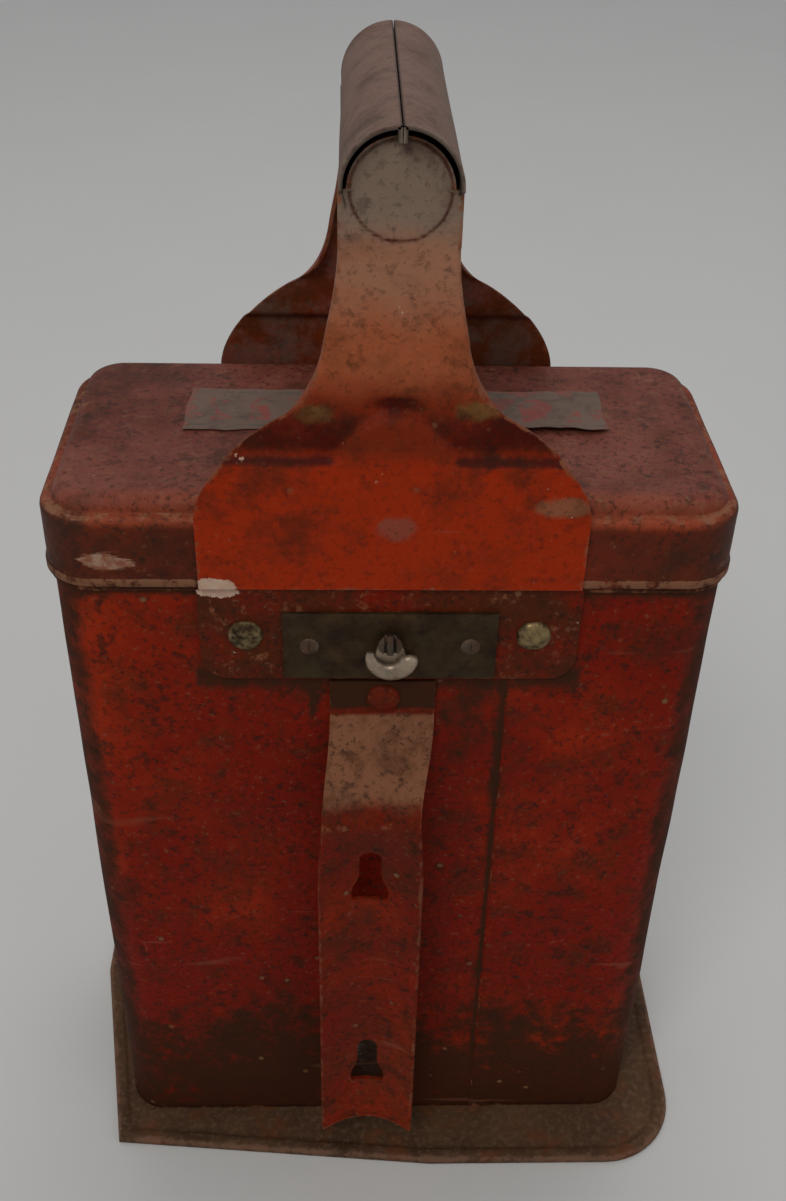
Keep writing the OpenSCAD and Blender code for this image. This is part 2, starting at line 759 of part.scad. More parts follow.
module lid_label() {
  color(faded_paper)
    translate([label_x - label_w / 2, label_y - label_d / 2, lid_top_z]) cube([label_w, label_d, label_t]);
}

module catch_tongue() {
  top_z = lid_top_z - sheet_t;
  color(bare_steel) {
    translate([tongue_low_x, tongue_y, lip_top_z - lip_t])
      cube([tongue_w, tongue_t, top_z - lip_top_z + lip_t]);
    translate([tongue_low_x, tongue_y, lip_top_z - lip_t])
      cube([tongue_w, tongue_t + lip_reach, lip_t]);
    translate([tongue_low_x, tongue_y, top_z - tongue_t])
      cube([tongue_w, tongue_foot_l, tongue_t]);
  }
}

// --- Handle -----------------------------------------------------------------------

// Right edge of a handle plate, from the skirt's lower edge to the neck's top
neck_root_half_w = grip_r * 2;
neck_low_half_w = neck_half_w + 3.4;
plate_edge = concat(
  [[plate_half_w, skirt_z]],
  curve([[plate_half_w, shoulder_z], [plate_half_w, shoulder_z + shoulder_bulge],
         [neck_root_half_w + 14, neck_root_z - 8], [neck_root_half_w, neck_root_z]], 12),
  curve([[neck_root_half_w, neck_root_z], [neck_root_half_w - 6, neck_root_z + 3.4],
         [neck_low_half_w + 1.4, neck_low_z - 10], [neck_low_half_w, neck_low_z]], 10),
  curve([[neck_low_half_w, neck_low_z], [neck_low_half_w - 1, neck_low_z + 6],
         [neck_half_w, neck_low_z + 14], [neck_half_w, neck_top_z]], 6),
  [[neck_half_w, neck_top_z], [neck_half_w, disc_z]]
);

module bracket_outline() {
  polygon(concat(plate_edge, flip(plate_edge)));
  translate([0, disc_z]) circle(r = disc_r);
}

// Turned-back edges of the neck
module neck_flanges() {
  edge = [for (p = plate_edge) if (p[1] >= neck_root_z && p[1] <= neck_top_z) p];
  inner = [for (i = [len(edge) - 1 : -1 : 0]) [edge[i][0] - bracket_t, edge[i][1]]];
  for (side = [0, 1])
    mirror([side, 0]) polygon(concat(edge, inner));
}

// Handle plate on the front of the lid
module handle_plate() {
  difference() {
    union() {
      xz_sheet(-bracket_out_y, -bracket_in_y) bracket_outline();
      xz_sheet(-bracket_in_y, -bracket_in_y + neck_flange_w) neck_flanges();
    }
    y_rod(0, disc_z + disc_hole_rise, disc_hole_r, -bracket_out_y - cut, -bracket_in_y + cut);
  }
}

module front_handle_bracket() {
  color(paint_red) handle_plate();
}

module rear_handle_bracket() {
  color(paint_red) difference() {
    mirror([0, 1, 0]) handle_plate();
    for (x = [-hinge_rivet_x, 0, hinge_rivet_x])
      y_rod(x, lid_rivet_z, small_shank_r, bracket_in_y - cut, bracket_out_y + cut);
  }
}

// Rolled tube with a seam on top; its lower half stops behind the handle plates
module grip_tube() {
  end_y = bracket_out_y + grip_overhang;
  bore_r = grip_r - grip_t;
  color(grip_brown) difference() {
    union() {
      difference() {
        y_rod(0, grip_z, grip_r, -end_y, end_y);
        y_rod(0, grip_z, bore_r, -end_y - cut, end_y + cut);
      }
      for (sx = [-1, 1])
        translate([sx > 0 ? 0 : -grip_seam_w / 2 - grip_t, -end_y, grip_z + bore_r - grip_lip_h])
          cube([grip_seam_w / 2 + grip_t, 2 * end_y, grip_lip_h + grip_t / 2]);
    }
    translate([-grip_seam_w / 2, -end_y - cut, grip_z])
      cube([grip_seam_w, 2 * (end_y + cut), grip_r + cut]);
    for (side = [0, 1]) mirror([0, side, 0])
      translate([-grip_r - cut, -end_y - cut, grip_z - grip_r - cut])
        cube([2 * (grip_r + cut), end_y + cut - bracket_in_y, grip_r + cut - disc_drop]);
    // room for the plate's head between the lips
    for (side = [0, 1]) mirror([0, side, 0])
      y_rod(0, disc_z, disc_r + 0.1, -bracket_out_y, -bracket_in_y);
  }
}

base_plate();
base_rivets();
body_shell();
body_floor();
lock_mount_plate();
plate_rivets();
lock_plate();
lock_screws();
lock_backing_plate();
spring_washer();
hanger_strap();
hanger_rivet();
hinge_body_leaf();
hinge_body_rivets();
hinge_pin();
lid_shell();
lid_label();
front_handle_bracket();
rear_handle_bracket();
grip_tube();
catch_tongue();
hinge_lid_leaf();
hinge_lid_rivets();
thumb_lever();
latch_spindle();
cam_arm();
spindle_nut();
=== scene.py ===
"""Looks of an old lockable sheet-metal lunch tin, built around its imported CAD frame."""
import json
import math

import bmesh
import bpy
import numpy as np
from mathutils import Matrix, Vector, noise


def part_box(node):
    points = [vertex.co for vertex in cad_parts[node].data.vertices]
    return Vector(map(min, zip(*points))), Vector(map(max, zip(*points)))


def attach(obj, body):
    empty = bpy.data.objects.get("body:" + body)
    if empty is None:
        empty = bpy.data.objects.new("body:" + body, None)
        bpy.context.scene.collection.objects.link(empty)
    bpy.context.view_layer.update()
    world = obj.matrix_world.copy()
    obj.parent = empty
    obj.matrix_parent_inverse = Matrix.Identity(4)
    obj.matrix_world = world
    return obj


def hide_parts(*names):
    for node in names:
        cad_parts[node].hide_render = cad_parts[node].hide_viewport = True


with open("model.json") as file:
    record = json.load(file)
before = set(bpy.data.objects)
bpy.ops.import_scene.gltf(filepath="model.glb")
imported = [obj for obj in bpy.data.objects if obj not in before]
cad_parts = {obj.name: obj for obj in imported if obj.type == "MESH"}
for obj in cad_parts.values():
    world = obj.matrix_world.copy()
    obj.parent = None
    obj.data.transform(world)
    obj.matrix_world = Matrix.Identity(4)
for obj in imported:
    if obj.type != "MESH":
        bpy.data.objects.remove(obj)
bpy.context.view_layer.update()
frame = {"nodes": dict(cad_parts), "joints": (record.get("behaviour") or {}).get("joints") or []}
MM = 0.001


# --- Sizes taken from the frame ------------------------------------------------

def low(node):
    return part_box(node)[0]


def high(node):
    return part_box(node)[1]


FRONT_Y = high("lock_mount_plate").y
HALF_D = -FRONT_Y
SHEET = low("lock_backing_plate").y - FRONT_Y
BEAD_OUT = high("body_shell").y - HALF_D
HALF_W = high("body_shell").x - BEAD_OUT
CORNER_R = 13 * MM
FLOOR_Z = low("body_shell").z
MOUTH_Z = high("body_shell").z
SKIRT_Z = low("lid_shell").z
LID_TOP_Z = high("lid_shell").z
HEM_OUT = 0.5 * MM
LID_HALF_W = high("lid_shell").x - HEM_OUT
LID_HALF_D = high("lid_shell").y - HEM_OUT
LID_CORNER_R = CORNER_R + LID_HALF_W - HALF_W
LEDGE_W = 3.5 * MM
CROWN_H = 4.5 * MM
CROWN_R = 4 * MM
LEDGE_Z = LID_TOP_Z - CROWN_H
GRIP_TOP_Z = high("grip_tube").z
GRIP_R = high("grip_tube").x
GRIP_Z = GRIP_TOP_Z - GRIP_R
GRIP_END_Y = high("grip_tube").y
BASE_TOP_Z = high("base_plate").z
PIVOT_Z = next(j for j in frame["joints"] if j["name"] == "latch_turn")["pos_m"][2]


# --- Camera, light and floor -----------------------------------------------------

def set_camera():
    """A camera at eye height in front of the box, looking down on it."""
    place = Vector((-11.1, -344.8, 465.9)) * MM
    yaw, pitch, roll = (math.radians(a) for a in (2.23, 36.21, 1.52))
    ahead = Vector((math.sin(yaw), math.cos(yaw), 0))
    right = Vector((math.cos(yaw), -math.sin(yaw), 0))
    up = Vector((0, 0, 1))
    view = ahead * math.cos(pitch) - up * math.sin(pitch)
    lifted = up * math.cos(pitch) + ahead * math.sin(pitch)
    side = right * math.cos(roll) + lifted * math.sin(roll)
    top = lifted * math.cos(roll) - right * math.sin(roll)
    data = bpy.data.cameras.new("camera")
    data.sensor_width = 36
    data.lens = 39.96
    data.clip_start = 0.01
    camera = bpy.data.objects.new("camera", data)
    camera.matrix_world = Matrix((
        (side.x, top.x, -view.x, place.x),
        (side.y, top.y, -view.y, place.y),
        (side.z, top.z, -view.z, place.z),
        (0, 0, 0, 1),
    ))
    bpy.context.scene.collection.objects.link(camera)
    bpy.context.scene.camera = camera


def add_light(name, place, target, size, power, tint=(1, 1, 1)):
    data = bpy.data.lights.new(name, "AREA")
    data.shape = "DISK"
    data.size = size
    data.energy = power
    data.color = tint
    light = bpy.data.objects.new(name, data)
    light.location = place
    light.rotation_euler = (Vector(target) - Vector(place)).to_track_quat("-Z", "Y").to_euler()
    bpy.context.scene.collection.objects.link(light)


def set_studio():
    middle = (0, 0, 0.18)
    add_light("key_light", (-0.45, -1.0, 1.6), middle, 0.7, 8.0, (1, 0.97, 0.93))
    add_light("fill_light", (1.3, -0.9, 0.9), middle, 1.4, 1.8, (0.96, 0.98, 1))
    add_light("top_light", (0.1, 0.6, 1.7), middle, 1.0, 4.8)
    world = bpy.data.worlds.new("studio")
    world.use_nodes = True
    sky = world.node_tree.nodes["Background"]
    sky.inputs["Color"].default_value = (0.95, 0.97, 1, 1)
    sky.inputs["Strength"].default_value = 0.46
    bpy.context.scene.world = world
    bpy.context.scene.view_settings.view_transform = "Standard"


# --- Shader maths -----------------------------------------------------------------

class Num:
    """A number in a shader tree. Arithmetic on it adds Math nodes."""

    def __init__(self, graph, socket):
        self.graph = graph
        self.socket = socket

    def math(self, operation, *others, swap=False):
        terms = [self, *others]
        if swap:
            terms.reverse()
        values = dict(enumerate(terms))
        return self.graph.num("ShaderNodeMath", {"operation": operation}, values, 0)

    def __add__(self, other):
        return self.math("ADD", other)

    def __sub__(self, other):
        return self.math("SUBTRACT", other)

    def __rsub__(self, other):
        return self.math("SUBTRACT", other, swap=True)

    def __mul__(self, other):
        return self.math("MULTIPLY", other)

    def __truediv__(self, other):
        return self.math("DIVIDE", other)

    def __pow__(self, other):
        return self.math("POWER", other)

    def __abs__(self):
        return self.math("ABSOLUTE")

    __radd__ = __add__
    __rmul__ = __mul__

    def most(self, other):
        return self.math("MAXIMUM", other)

    def least(self, other):
        return self.math("MINIMUM", other)


class Graph:
    """One material's node tree, with its Principled shader."""

    def __init__(self, name):
        self.material = bpy.data.materials.new(name)
        self.material.use_nodes = True
        self.tree = self.material.node_tree
        self.tree.nodes.clear()
        self.shader = self.tree.nodes.new("ShaderNodeBsdfPrincipled")
        end = self.tree.nodes.new("ShaderNodeOutputMaterial")
        self.tree.links.new(self.shader.outputs[0], end.inputs["Surface"])
        self.place = self.node("ShaderNodeTexCoord").outputs["Object"]
        axes = self.node("ShaderNodeSeparateXYZ", {}, {0: self.place})
        self.x, self.y, self.z = (Num(self, axes.outputs[i]) for i in range(3))

    def node(self, kind, settings=None, values=None):
        made = self.tree.nodes.new(kind)
        for key, setting in (settings or {}).items():
            if key == "stops":
                self.set_stops(made.color_ramp, setting)
            else:
                setattr(made, key, setting)
        for key, value in (values or {}).items():
            self.put(made.inputs[key], value)
        return made

    def set_stops(self, ramp, stops):
        while len(ramp.elements) < len(stops):
            ramp.elements.new(0.5)
        for element, (at, tint) in zip(ramp.elements, stops):
            element.position = at
            element.color = (*tint, 1)

    def put(self, socket, value):
        if isinstance(value, Num):
            value = value.socket
        if isinstance(value, bpy.types.NodeSocket):
            self.tree.links.new(value, socket)
        elif isinstance(value, tuple) and len(value) == 3 and socket.type == "RGBA":
            socket.default_value = (*value, 1)
        else:
            socket.default_value = value

    def num(self, kind, settings, values, output):
        return Num(self, self.node(kind, settings, values).outputs[output])

    def set(self, **values):
        """Puts values on the shader's own sockets; underscores stand for spaces."""
        for key, value in values.items():
            self.put(self.shader.inputs[key.replace("_", " ").title()], value)

    def stretched(self, scale, shift=(0, 0, 0)):
        values = {"Location": shift, "Scale": scale, "Vector": self.place}
        return self.node("ShaderNodeMapping", {}, values).outputs[0]

    def noise(self, scale, detail=3.0, roughness=0.55, distortion=0.0, place=None):
        values = {"Vector": place or self.place, "Scale": scale, "Detail": detail}
        values.update({"Roughness": roughness, "Distortion": distortion})
        return self.num("ShaderNodeTexNoise", {}, values, 0)

    def cells(self, scale, place=None):
        values = {"Vector": place or self.place, "Scale": scale}
        return self.num("ShaderNodeTexVoronoi", {"feature": "F1"}, values, "Distance")

    def step(self, value, start, end):
        """Smooth rise from 0 at start to 1 at end; start may lie above end."""
        values = {"Value": value, "From Min": start, "From Max": end}
        return self.num("ShaderNodeMapRange", {"interpolation_type": "SMOOTHSTEP"}, values, 0)

    def mix(self, share, first, second):
        settings = {"data_type": "RGBA", "clamp_factor": True}
        return self.node("ShaderNodeMix", settings, {0: share, 6: first, 7: second}).outputs[2]

    def attribute(self, name):
        return self.num("ShaderNodeAttribute", {"attribute_name": name}, {}, "Fac")

    def near(self, centre, radii):
        """1 at a place, falling to 0 on an ellipsoid round it."""
        parts = [((axis - c) / r) ** 2 for axis, c, r in zip((self.x, self.y, self.z), centre, radii)]
        reach = parts[0] + parts[1] + parts[2]
        return self.step(reach, 1.0, 0.0)

    def sheen(self, level):
        self.shader.inputs["Specular IOR Level"].default_value = level

    def bump(self, height, distance, strength=1.0):
        values = {"Height": height, "Distance": distance, "Strength": strength}
        self.put(self.shader.inputs["Normal"], self.node("ShaderNodeBump", {}, values).outputs[0])


# --- Finishes ------------------------------------------------------------------------

ORANGE_RED = (0.31, 0.022, 0.002)
DEEP_RED = (0.165, 0.007, 0.001)
OLD_BROWN = (0.062, 0.015, 0.004)
GRIME = (0.018, 0.009, 0.005)
# Dark colour for staining and for painted shade.
DIRT_AND_SHADE = (0.036, 0.014, 0.006)
DUST = (0.21, 0.115, 0.058)
BARE = (0.25, 0.20, 0.155)
RUST = (0.135, 0.036, 0.009)
CREAM = (0.66, 0.52, 0.40)
LID_BROWN = (0.185, 0.052, 0.034)
LID_PLUM_SHEEN = (0.120, 0.026, 0.018)
RUBBED = (0.28, 0.105, 0.056)
SHADED_RED = (0.055, 0.003, 0.001)


def weather(g, colour, grime_and_shade=None, amount=1.0):
    """Speckle, brown mottling and a dark mask that every old surface of the box shares; the mask paints
    real staining and, on the walls and strap, painted shade.
    """
    mottle = g.noise(75, 6, 0.68)
    speckle = g.noise(560, 4, 0.65)
    blotch = g.noise(190, 6, 0.7)
    colour = g.mix(g.step(mottle, 0.48, 0.68) * (0.62 * amount), colour, OLD_BROWN)
    colour = g.mix(g.step(blotch, 0.55, 0.64) * (0.60 * amount), colour, GRIME)
    colour = g.mix(g.step(speckle, 0.54, 0.66) * (0.62 * amount), colour, GRIME)
    colour = g.mix(g.step(speckle, 0.40, 0.31) * (0.30 * amount), colour, DUST)
    # Paints staining and, where the mask carries it, painted shade.
    if grime_and_shade is not None:
        colour = g.mix(grime_and_shade, colour, DIRT_AND_SHADE)
    return colour, mottle, speckle


def scratches(g, along):
    """Thin broken lines; along is the stretch of the noise on each axis."""
    return g.step(g.noise(60, 2, 0.5, 0.4, g.stretched(along)), 0.70, 0.76)


def paint(name, tone=0.5, foot=None, rubs=(), creams=(), edge=1.0, brown=0.0, bands=(),
          shade_tint=None, highlight_tint=None, specks=1.0):
    """Old orange-red enamel. foot is (z where it is darkest, z where that stops), so the piece darkens
    towards the bottom; rubs and creams are places;
    bands are (start z, full z, colour, share) that follow each other up the piece, some of them painted
    light and shade; specks scales the speckle and mottling. A shade tint colours the painted shade mark; a
    highlight tint colours the painted highlight on the strap's slope."""
    g = Graph(name)
    patch = g.noise(16, 5, 0.62)
    broad = g.noise(6.5, 2, 0.5)
    mixed = patch * 0.7 + broad * 0.5 + (tone - 0.6)
    colour = g.mix(g.step(mixed, 0.36, 0.64), DEEP_RED, ORANGE_RED)
    if brown:
        colour = g.mix(g.step(g.noise(28, 5, 0.65), 0.34, 0.58) * brown, colour, OLD_BROWN)
    for start, full, tint, share in bands:
        edge_z = g.z + (g.noise(70, 5, 0.7) - 0.5) * (0.9 * abs(full - start))
        colour = g.mix(g.step(edge_z, start, full) * share, colour, tint)
    # Painted highlight on the strap's slope, which faces up towards the lamps.
    if highlight_tint:
        rubbed = g.step(g.attribute("rub") + (g.noise(110, 6, 0.7) - 0.5) * 0.9, 0.25, 0.75)
        colour = g.mix(rubbed * 0.90, colour, highlight_tint)
    for centre, radii, tint, share in rubs:
        worn = g.near(centre, radii) + (g.noise(150, 6, 0.75) - 0.5) * 2.2
        colour = g.mix(g.step(worn, 0.30, 0.95) * share, colour, tint)
    dirt_and_shade = g.step(g.noise(34, 6, 0.7), 0.52, 0.68) * 0.55
    if foot:
        low_down = g.step(g.z, foot[1], foot[0])
        patchy = low_down + (g.noise(36, 6, 0.78) - 0.5) * 2.2 + (g.noise(210, 5, 0.75) - 0.5) * 1.7
        dirt_and_shade = dirt_and_shade.most(g.step(patchy, 0.10, 0.86) * g.step(low_down, 0.0, 0.12) * 0.93)
    # This mark is mostly painted shade under overhangs, in recesses and creases and on the box's sides; it
    # joins the dark staining colour, or takes the shade tint where one is given.
    soil = g.attribute("soil")
    soil = g.step(soil + (g.noise(95, 6, 0.72) - 0.5) * 0.9, 0.26, 0.72) * g.step(soil, 0.0, 0.2) * 0.94
    if shade_tint is None:
        dirt_and_shade = dirt_and_shade.most(soil)
    else:
        colour = g.mix(soil, colour, shade_tint)
    colour, mottle, speckle = weather(g, colour, dirt_and_shade, specks)
    wear = g.attribute("wear")
    # Edge wear, which also paints the bright highlights along the sheet's edges and bends.
    worn_edge_and_highlight = g.step(wear + (g.noise(210, 5, 0.7) - 0.5) * 2.0, 0.52, 0.80) * edge
    colour = g.mix(worn_edge_and_highlight * 0.8, colour, g.mix(g.noise(300, 3), RUST, RUBBED))
    nick = g.step(g.cells(95), 0.13, 0.06) * g.step(g.noise(23, 3), 0.52, 0.60)
    colour = g.mix(nick, colour, g.mix(g.noise(500), RUST, DUST))
    line = scratches(g, (0.25, 1, 2.2)) * 0.22
    colour = g.mix(line, colour, RUBBED)
    for centre, radii in creams:
        flake = g.near(centre, radii) + (g.noise(170, 5, 0.75) - 0.5) * 2.4
        colour = g.mix(g.step(flake, 0.42, 0.52), colour, g.mix(g.noise(240, 4), CREAM, RUBBED))
    bare = g.mix(g.step(mottle, 0.42, 0.60), (0.16, 0.12, 0.09), RUST)
    colour = g.mix(g.attribute("inside"), colour, bare)
    rough = 0.38 + mottle * 0.24 + dirt_and_shade * 0.28 + worn_edge_and_highlight * 0.08
    g.set(base_color=colour, roughness=rough, metallic=0.0)
    g.sheen(0.07)
    height = mottle * 0.9 + speckle * 0.5 + g.noise(30, 3) * 0.8
    g.bump(height - nick * 0.9 - line * 0.4 + dirt_and_shade * 0.25, 0.0006, 0.85)
    return g.material


def lid_paint():
    """The lid: faded purplish brown on its top, its purple partly a painted reflection of the lamps; red
    lower down on the step and skirt, lit and shaded in paint.
    """
    g = Graph("lid_paint")
    patch = g.noise(20, 5, 0.62)
    # The plum patches stand partly for painted sheen of the lamps on the top.
    top = g.mix(g.step(patch, 0.35, 0.66), LID_PLUM_SHEEN, LID_BROWN)
    skirt_red = g.mix(g.noise(48, 3), (0.090, 0.010, 0.003), (0.19, 0.024, 0.005))
    # Painted light and shade: the skirt is a shaded copy of its red, and the band just under the ledge a
    # lit copy.
    shaded_side = g.mix(g.step(patch, 0.36, 0.62), (0.030, 0.008, 0.003), skirt_red)
    lit_side = g.mix(g.step(patch, 0.34, 0.60), (0.12, 0.023, 0.009), (0.27, 0.046, 0.015))
    side = g.mix(g.step(g.z, LEDGE_Z - 3.2 * MM, LEDGE_Z - 0.6 * MM), shaded_side, lit_side)
    height = g.step(g.z + (patch - 0.5) * 0.004, LEDGE_Z - 1 * MM, LID_TOP_Z - 0.4 * MM)
    colour = g.mix(height, side, top)
    grain = g.noise(300, 6, 0.7)
    colour = g.mix(g.step(grain, 0.52, 0.66) * height * 0.45, colour, DUST)
    colour = g.mix(g.step(grain, 0.46, 0.36) * height * 0.6, colour, (0.040, 0.011, 0.008))
    # Painted shade on the skirt's left and right sides below the ledge, where the lid turns away from the
    # light.
    shaded_ends = g.step(abs(g.x) + (patch - 0.5) * 0.02, LID_HALF_W - 15 * MM, LID_HALF_W - 5 * MM)
    below = g.step(g.z, LEDGE_Z + 0.5 * MM, LEDGE_Z - 1.5 * MM)
    colour = g.mix(shaded_ends * below * 0.70, colour, (0.045, 0.013, 0.006))
    # Painted highlight along the front of the ledge.
    front_highlight = g.near((0, LID_HALF_D * -0.86, LEDGE_Z + 2 * MM), (0.12, 0.006, 0.006))
    colour = g.mix(front_highlight * 0.5, colour, (0.30, 0.052, 0.016))
    colour, mottle, speckle = weather(g, colour, g.step(g.noise(42, 6, 0.7), 0.52, 0.68) * 0.6, 0.9)
    wear = g.attribute("wear")
    worn = g.step(wear + (g.noise(230, 5, 0.7) - 0.5) * 1.8, 0.50, 0.80)
    colour = g.mix(worn * 0.7, colour, g.mix(g.noise(260), RUBBED, DUST))
    chip = g.near((-0.077, -LID_HALF_D, SKIRT_Z + 8 * MM), (0.011, 0.006, 0.007))
    streak = g.noise(90, 5, 0.7, 0.0, g.stretched((0.5, 1, 2.4)))
    chip = g.step(chip * 0.8 + (streak - 0.5) * 3.2, 0.52, 0.80)
    chip_tint = g.mix(g.step(g.noise(240, 5), 0.40, 0.60), (0.42, 0.27, 0.18), RUBBED)
    colour = g.mix(chip * 0.70, colour, chip_tint)
    bare = g.mix(g.step(mottle, 0.35, 0.62), (0.17, 0.125, 0.095), RUST)
    colour = g.mix(g.attribute("inside"), colour, bare)
    g.set(base_color=colour, roughness=0.42 + mottle * 0.25 + worn * 0.1, metallic=0.0)
    g.sheen(0.12)
    g.bump(mottle * 0.8 + speckle * 0.4 + grain * 0.4, 0.0005, 0.75)
    return g.material


def base_metal():
    """Rusted and grimy sheet of the base, close to old leather in colour."""
    g = Graph("base_rust")
    patch = g.noise(24, 5, 0.65)
    colour = g.mix(g.step(patch, 0.3, 0.7), (0.050, 0.023, 0.010), (0.098, 0.048, 0.022))
    grain = g.noise(420, 6, 0.72)
    colour = g.mix(g.step(grain, 0.45, 0.72) * 0.55, colour, (0.18, 0.105, 0.060))
    colour = g.mix(g.step(grain, 0.42, 0.25) * 0.7, colour, GRIME)
    colour = g.mix(g.step(g.noise(60, 5, 0.7), 0.52, 0.64) * 0.5, colour, RUST)
    wear = g.attribute("wear")
    worn = g.step(wear + (g.noise(200, 5, 0.7) - 0.5) * 1.6, 0.50, 0.78)
    colour = g.mix(worn * 0.7, colour, (0.17, 0.085, 0.050))
    g.set(base_color=colour, roughness=0.66 + patch * 0.2, metallic=0.0)
    g.sheen(0.2)
    g.bump(grain * 0.8 + g.noise(110, 5, 0.6), 0.0006, 0.8)
    return g.material


def grip_finish():
    """Paint of the grip, rubbed by hands to grey-brown metal along its top."""
    g = Graph("grip_rubbed")
    patch = g.noise(26, 5, 0.62)
    painted = g.mix(g.step(patch, 0.35, 0.65), OLD_BROWN, (0.15, 0.043, 0.022))
    rubbed = g.mix(g.noise(60, 5, 0.65), (0.120, 0.060, 0.039), (0.190, 0.104, 0.071))
    top = g.step(g.z + (patch - 0.5) * 0.014, GRIP_Z - 6 * MM, GRIP_Z + 7 * MM)
    colour = g.mix(top, painted, rubbed)
    colour, mottle, speckle = weather(g, colour, g.step(g.noise(48, 6, 0.7), 0.53, 0.68) * 0.5, 0.55)
    seam = g.step(abs(g.x), 0.9 * MM, 0.2 * MM) * g.step(g.z, GRIP_Z, GRIP_Z + 5 * MM)
    colour = g.mix(seam * 0.75, colour, GRIME)
    worn = g.step(g.attribute("wear") + (g.noise(240, 4, 0.7) - 0.5), 0.5, 0.85)
    colour = g.mix(worn * 0.7, colour, BARE)
    # Painted shade: the inside of the tube is coloured near black.
    colour = g.mix(g.attribute("inside"), colour, (0.035, 0.024, 0.017))
    g.set(base_color=colour, roughness=0.50 + mottle * 0.2, metallic=top * 0.1)
    g.sheen(0.3)
    g.bump(mottle * 0.7 + speckle * 0.4 + scratches(g, (1.6, 0.3, 1.6)) * -0.4, 0.0004, 0.7)
    return g.material


def brass(name, bright=0.0):
    """Tarnished brass, nearly black in the hollows and olive on the high spots."""
    g = Graph(name)
    patch = g.noise(130, 5, 0.65)
    tarnish = g.mix(g.step(patch, 0.3, 0.7), (0.012, 0.005, 0.002), (0.040, 0.019, 0.005))
    worn = g.step(g.attribute("wear") + (g.noise(330, 4, 0.7) - 0.5) * 1.6, 0.48, 0.85)
    shine = (worn * 0.55 + bright * g.step(g.noise(210, 4), 0.35, 0.65)).least(1.0)
    colour = g.mix(shine, tarnish, (0.26, 0.185, 0.085))
    colour = g.mix(g.step(g.noise(260, 4, 0.7), 0.52, 0.64) * 0.8, colour, GRIME)
    colour = g.mix(g.step(g.noise(95, 3), 0.54, 0.66) * 0.4, colour, (0.040, 0.030, 0.011))
    g.set(base_color=colour, roughness=0.66 - shine * 0.24, metallic=0.10 + shine * 0.6)
    g.sheen(0.15)
    g.bump(patch + g.noise(700, 3) * 0.5, 0.0003, 0.7)
    return g.material


def steel(name, tint=(0.30, 0.275, 0.235), rust=0.5, polish=0.3):
    """Bare steel with rust freckles."""
    g = Graph(name)
    patch = g.noise(150, 5, 0.65)
    colour = g.mix(g.step(patch, 0.3, 0.7), tuple(0.55 * c for c in tint), tint)
    freckle = g.step(g.noise(330, 5, 0.7), 0.58 - 0.12 * rust, 0.70 - 0.12 * rust)
    colour = g.mix(freckle * (0.4 + 0.5 * rust), colour, RUST)
    colour = g.mix(g.step(g.noise(90, 3), 0.48, 0.62) * rust, colour, OLD_BROWN)
    g.set(base_color=colour, roughness=0.55 - 0.2 * polish + freckle * 0.25, metallic=0.75 - freckle * 0.6)
    g.bump(patch * 0.6 + freckle * 0.6 + g.noise(900, 2) * 0.3, 0.00025, 0.6)
    return g.material


def label_paper():
    """Faded paper label: a grey-green ground with worn blocks of red print."""
    g = Graph("label_paper")
    ground = g.mix(g.noise(60, 5, 0.6), (0.098, 0.055, 0.036), (0.152, 0.094, 0.066))
    mid_x = (low("lid_label").x + high("lid_label").x) / 2
    mid_y = (low("lid_label").y + high("lid_label").y) / 2
    band = g.step(abs(g.y - mid_y), 7.5 * MM, 6.5 * MM)
    across = abs(g.x - mid_x)
    field = band * g.step(across, 56 * MM, 54 * MM)
    stripe = g.noise(130, 1, 0.4, 0.0, g.stretched((1, 0.45, 1)))
    print_worn = g.step(stripe, 0.50, 0.53) * g.step(g.noise(230, 5, 0.7), 0.40, 0.54)
    colour = g.mix(field * print_worn * 0.8, ground, (0.22, 0.030, 0.022))
    rule = g.step(abs(abs(g.y - mid_y) - 10 * MM), 0.7 * MM, 0.35 * MM)
    colour = g.mix(rule * g.step(g.noise(160, 4, 0.7), 0.4, 0.6) * 0.7, colour, (0.060, 0.058, 0.045))
    soiled = g.step(g.noise(120, 6, 0.75), 0.46, 0.64)
    colour = g.mix(soiled * 0.65, colour, (0.055, 0.030, 0.020))
    lost = g.step(g.noise(60, 6, 0.75) + g.attribute("wear") * 0.08, 0.60, 0.64)
    colour = g.mix(lost * 0.9, colour, LID_BROWN)
    g.set(base_color=colour, roughness=0.78, metallic=0.0)
    g.bump(g.noise(420, 4) + soiled * 0.4 - lost * 0.8, 0.0003, 0.6)
    return g.material


def floor_finish():
    """Plain pale table top."""
    g = Graph("pale_floor")
    tint = g.mix(g.noise(7, 3, 0.5), (0.57, 0.56, 0.54), (0.60, 0.59, 0.57))
    g.set(base_color=tint, roughness=0.7)
    g.bump(g.noise(400, 2), 0.0001, 0.2)
    return g.material


# --- Mesh helpers ------------------------------------------------------------------------

def smooth(value, start, end):
    t = min(max((value - start) / (end - start), 0.0), 1.0)
    return t * t * (3 - 2 * t)


def hump(value, centre, width):
    """1 at the centre, falling off smoothly within a few widths."""
    return math.exp(-((value - centre) / width) ** 2)


def dent(x, y, z, size, seed):
    """Smooth unevenness from -1 to 1 whose bumps are about size across."""
    return noise.noise(Vector((x / size + seed * 7.3, y / size - seed * 3.1, z / size + seed * 1.7)))


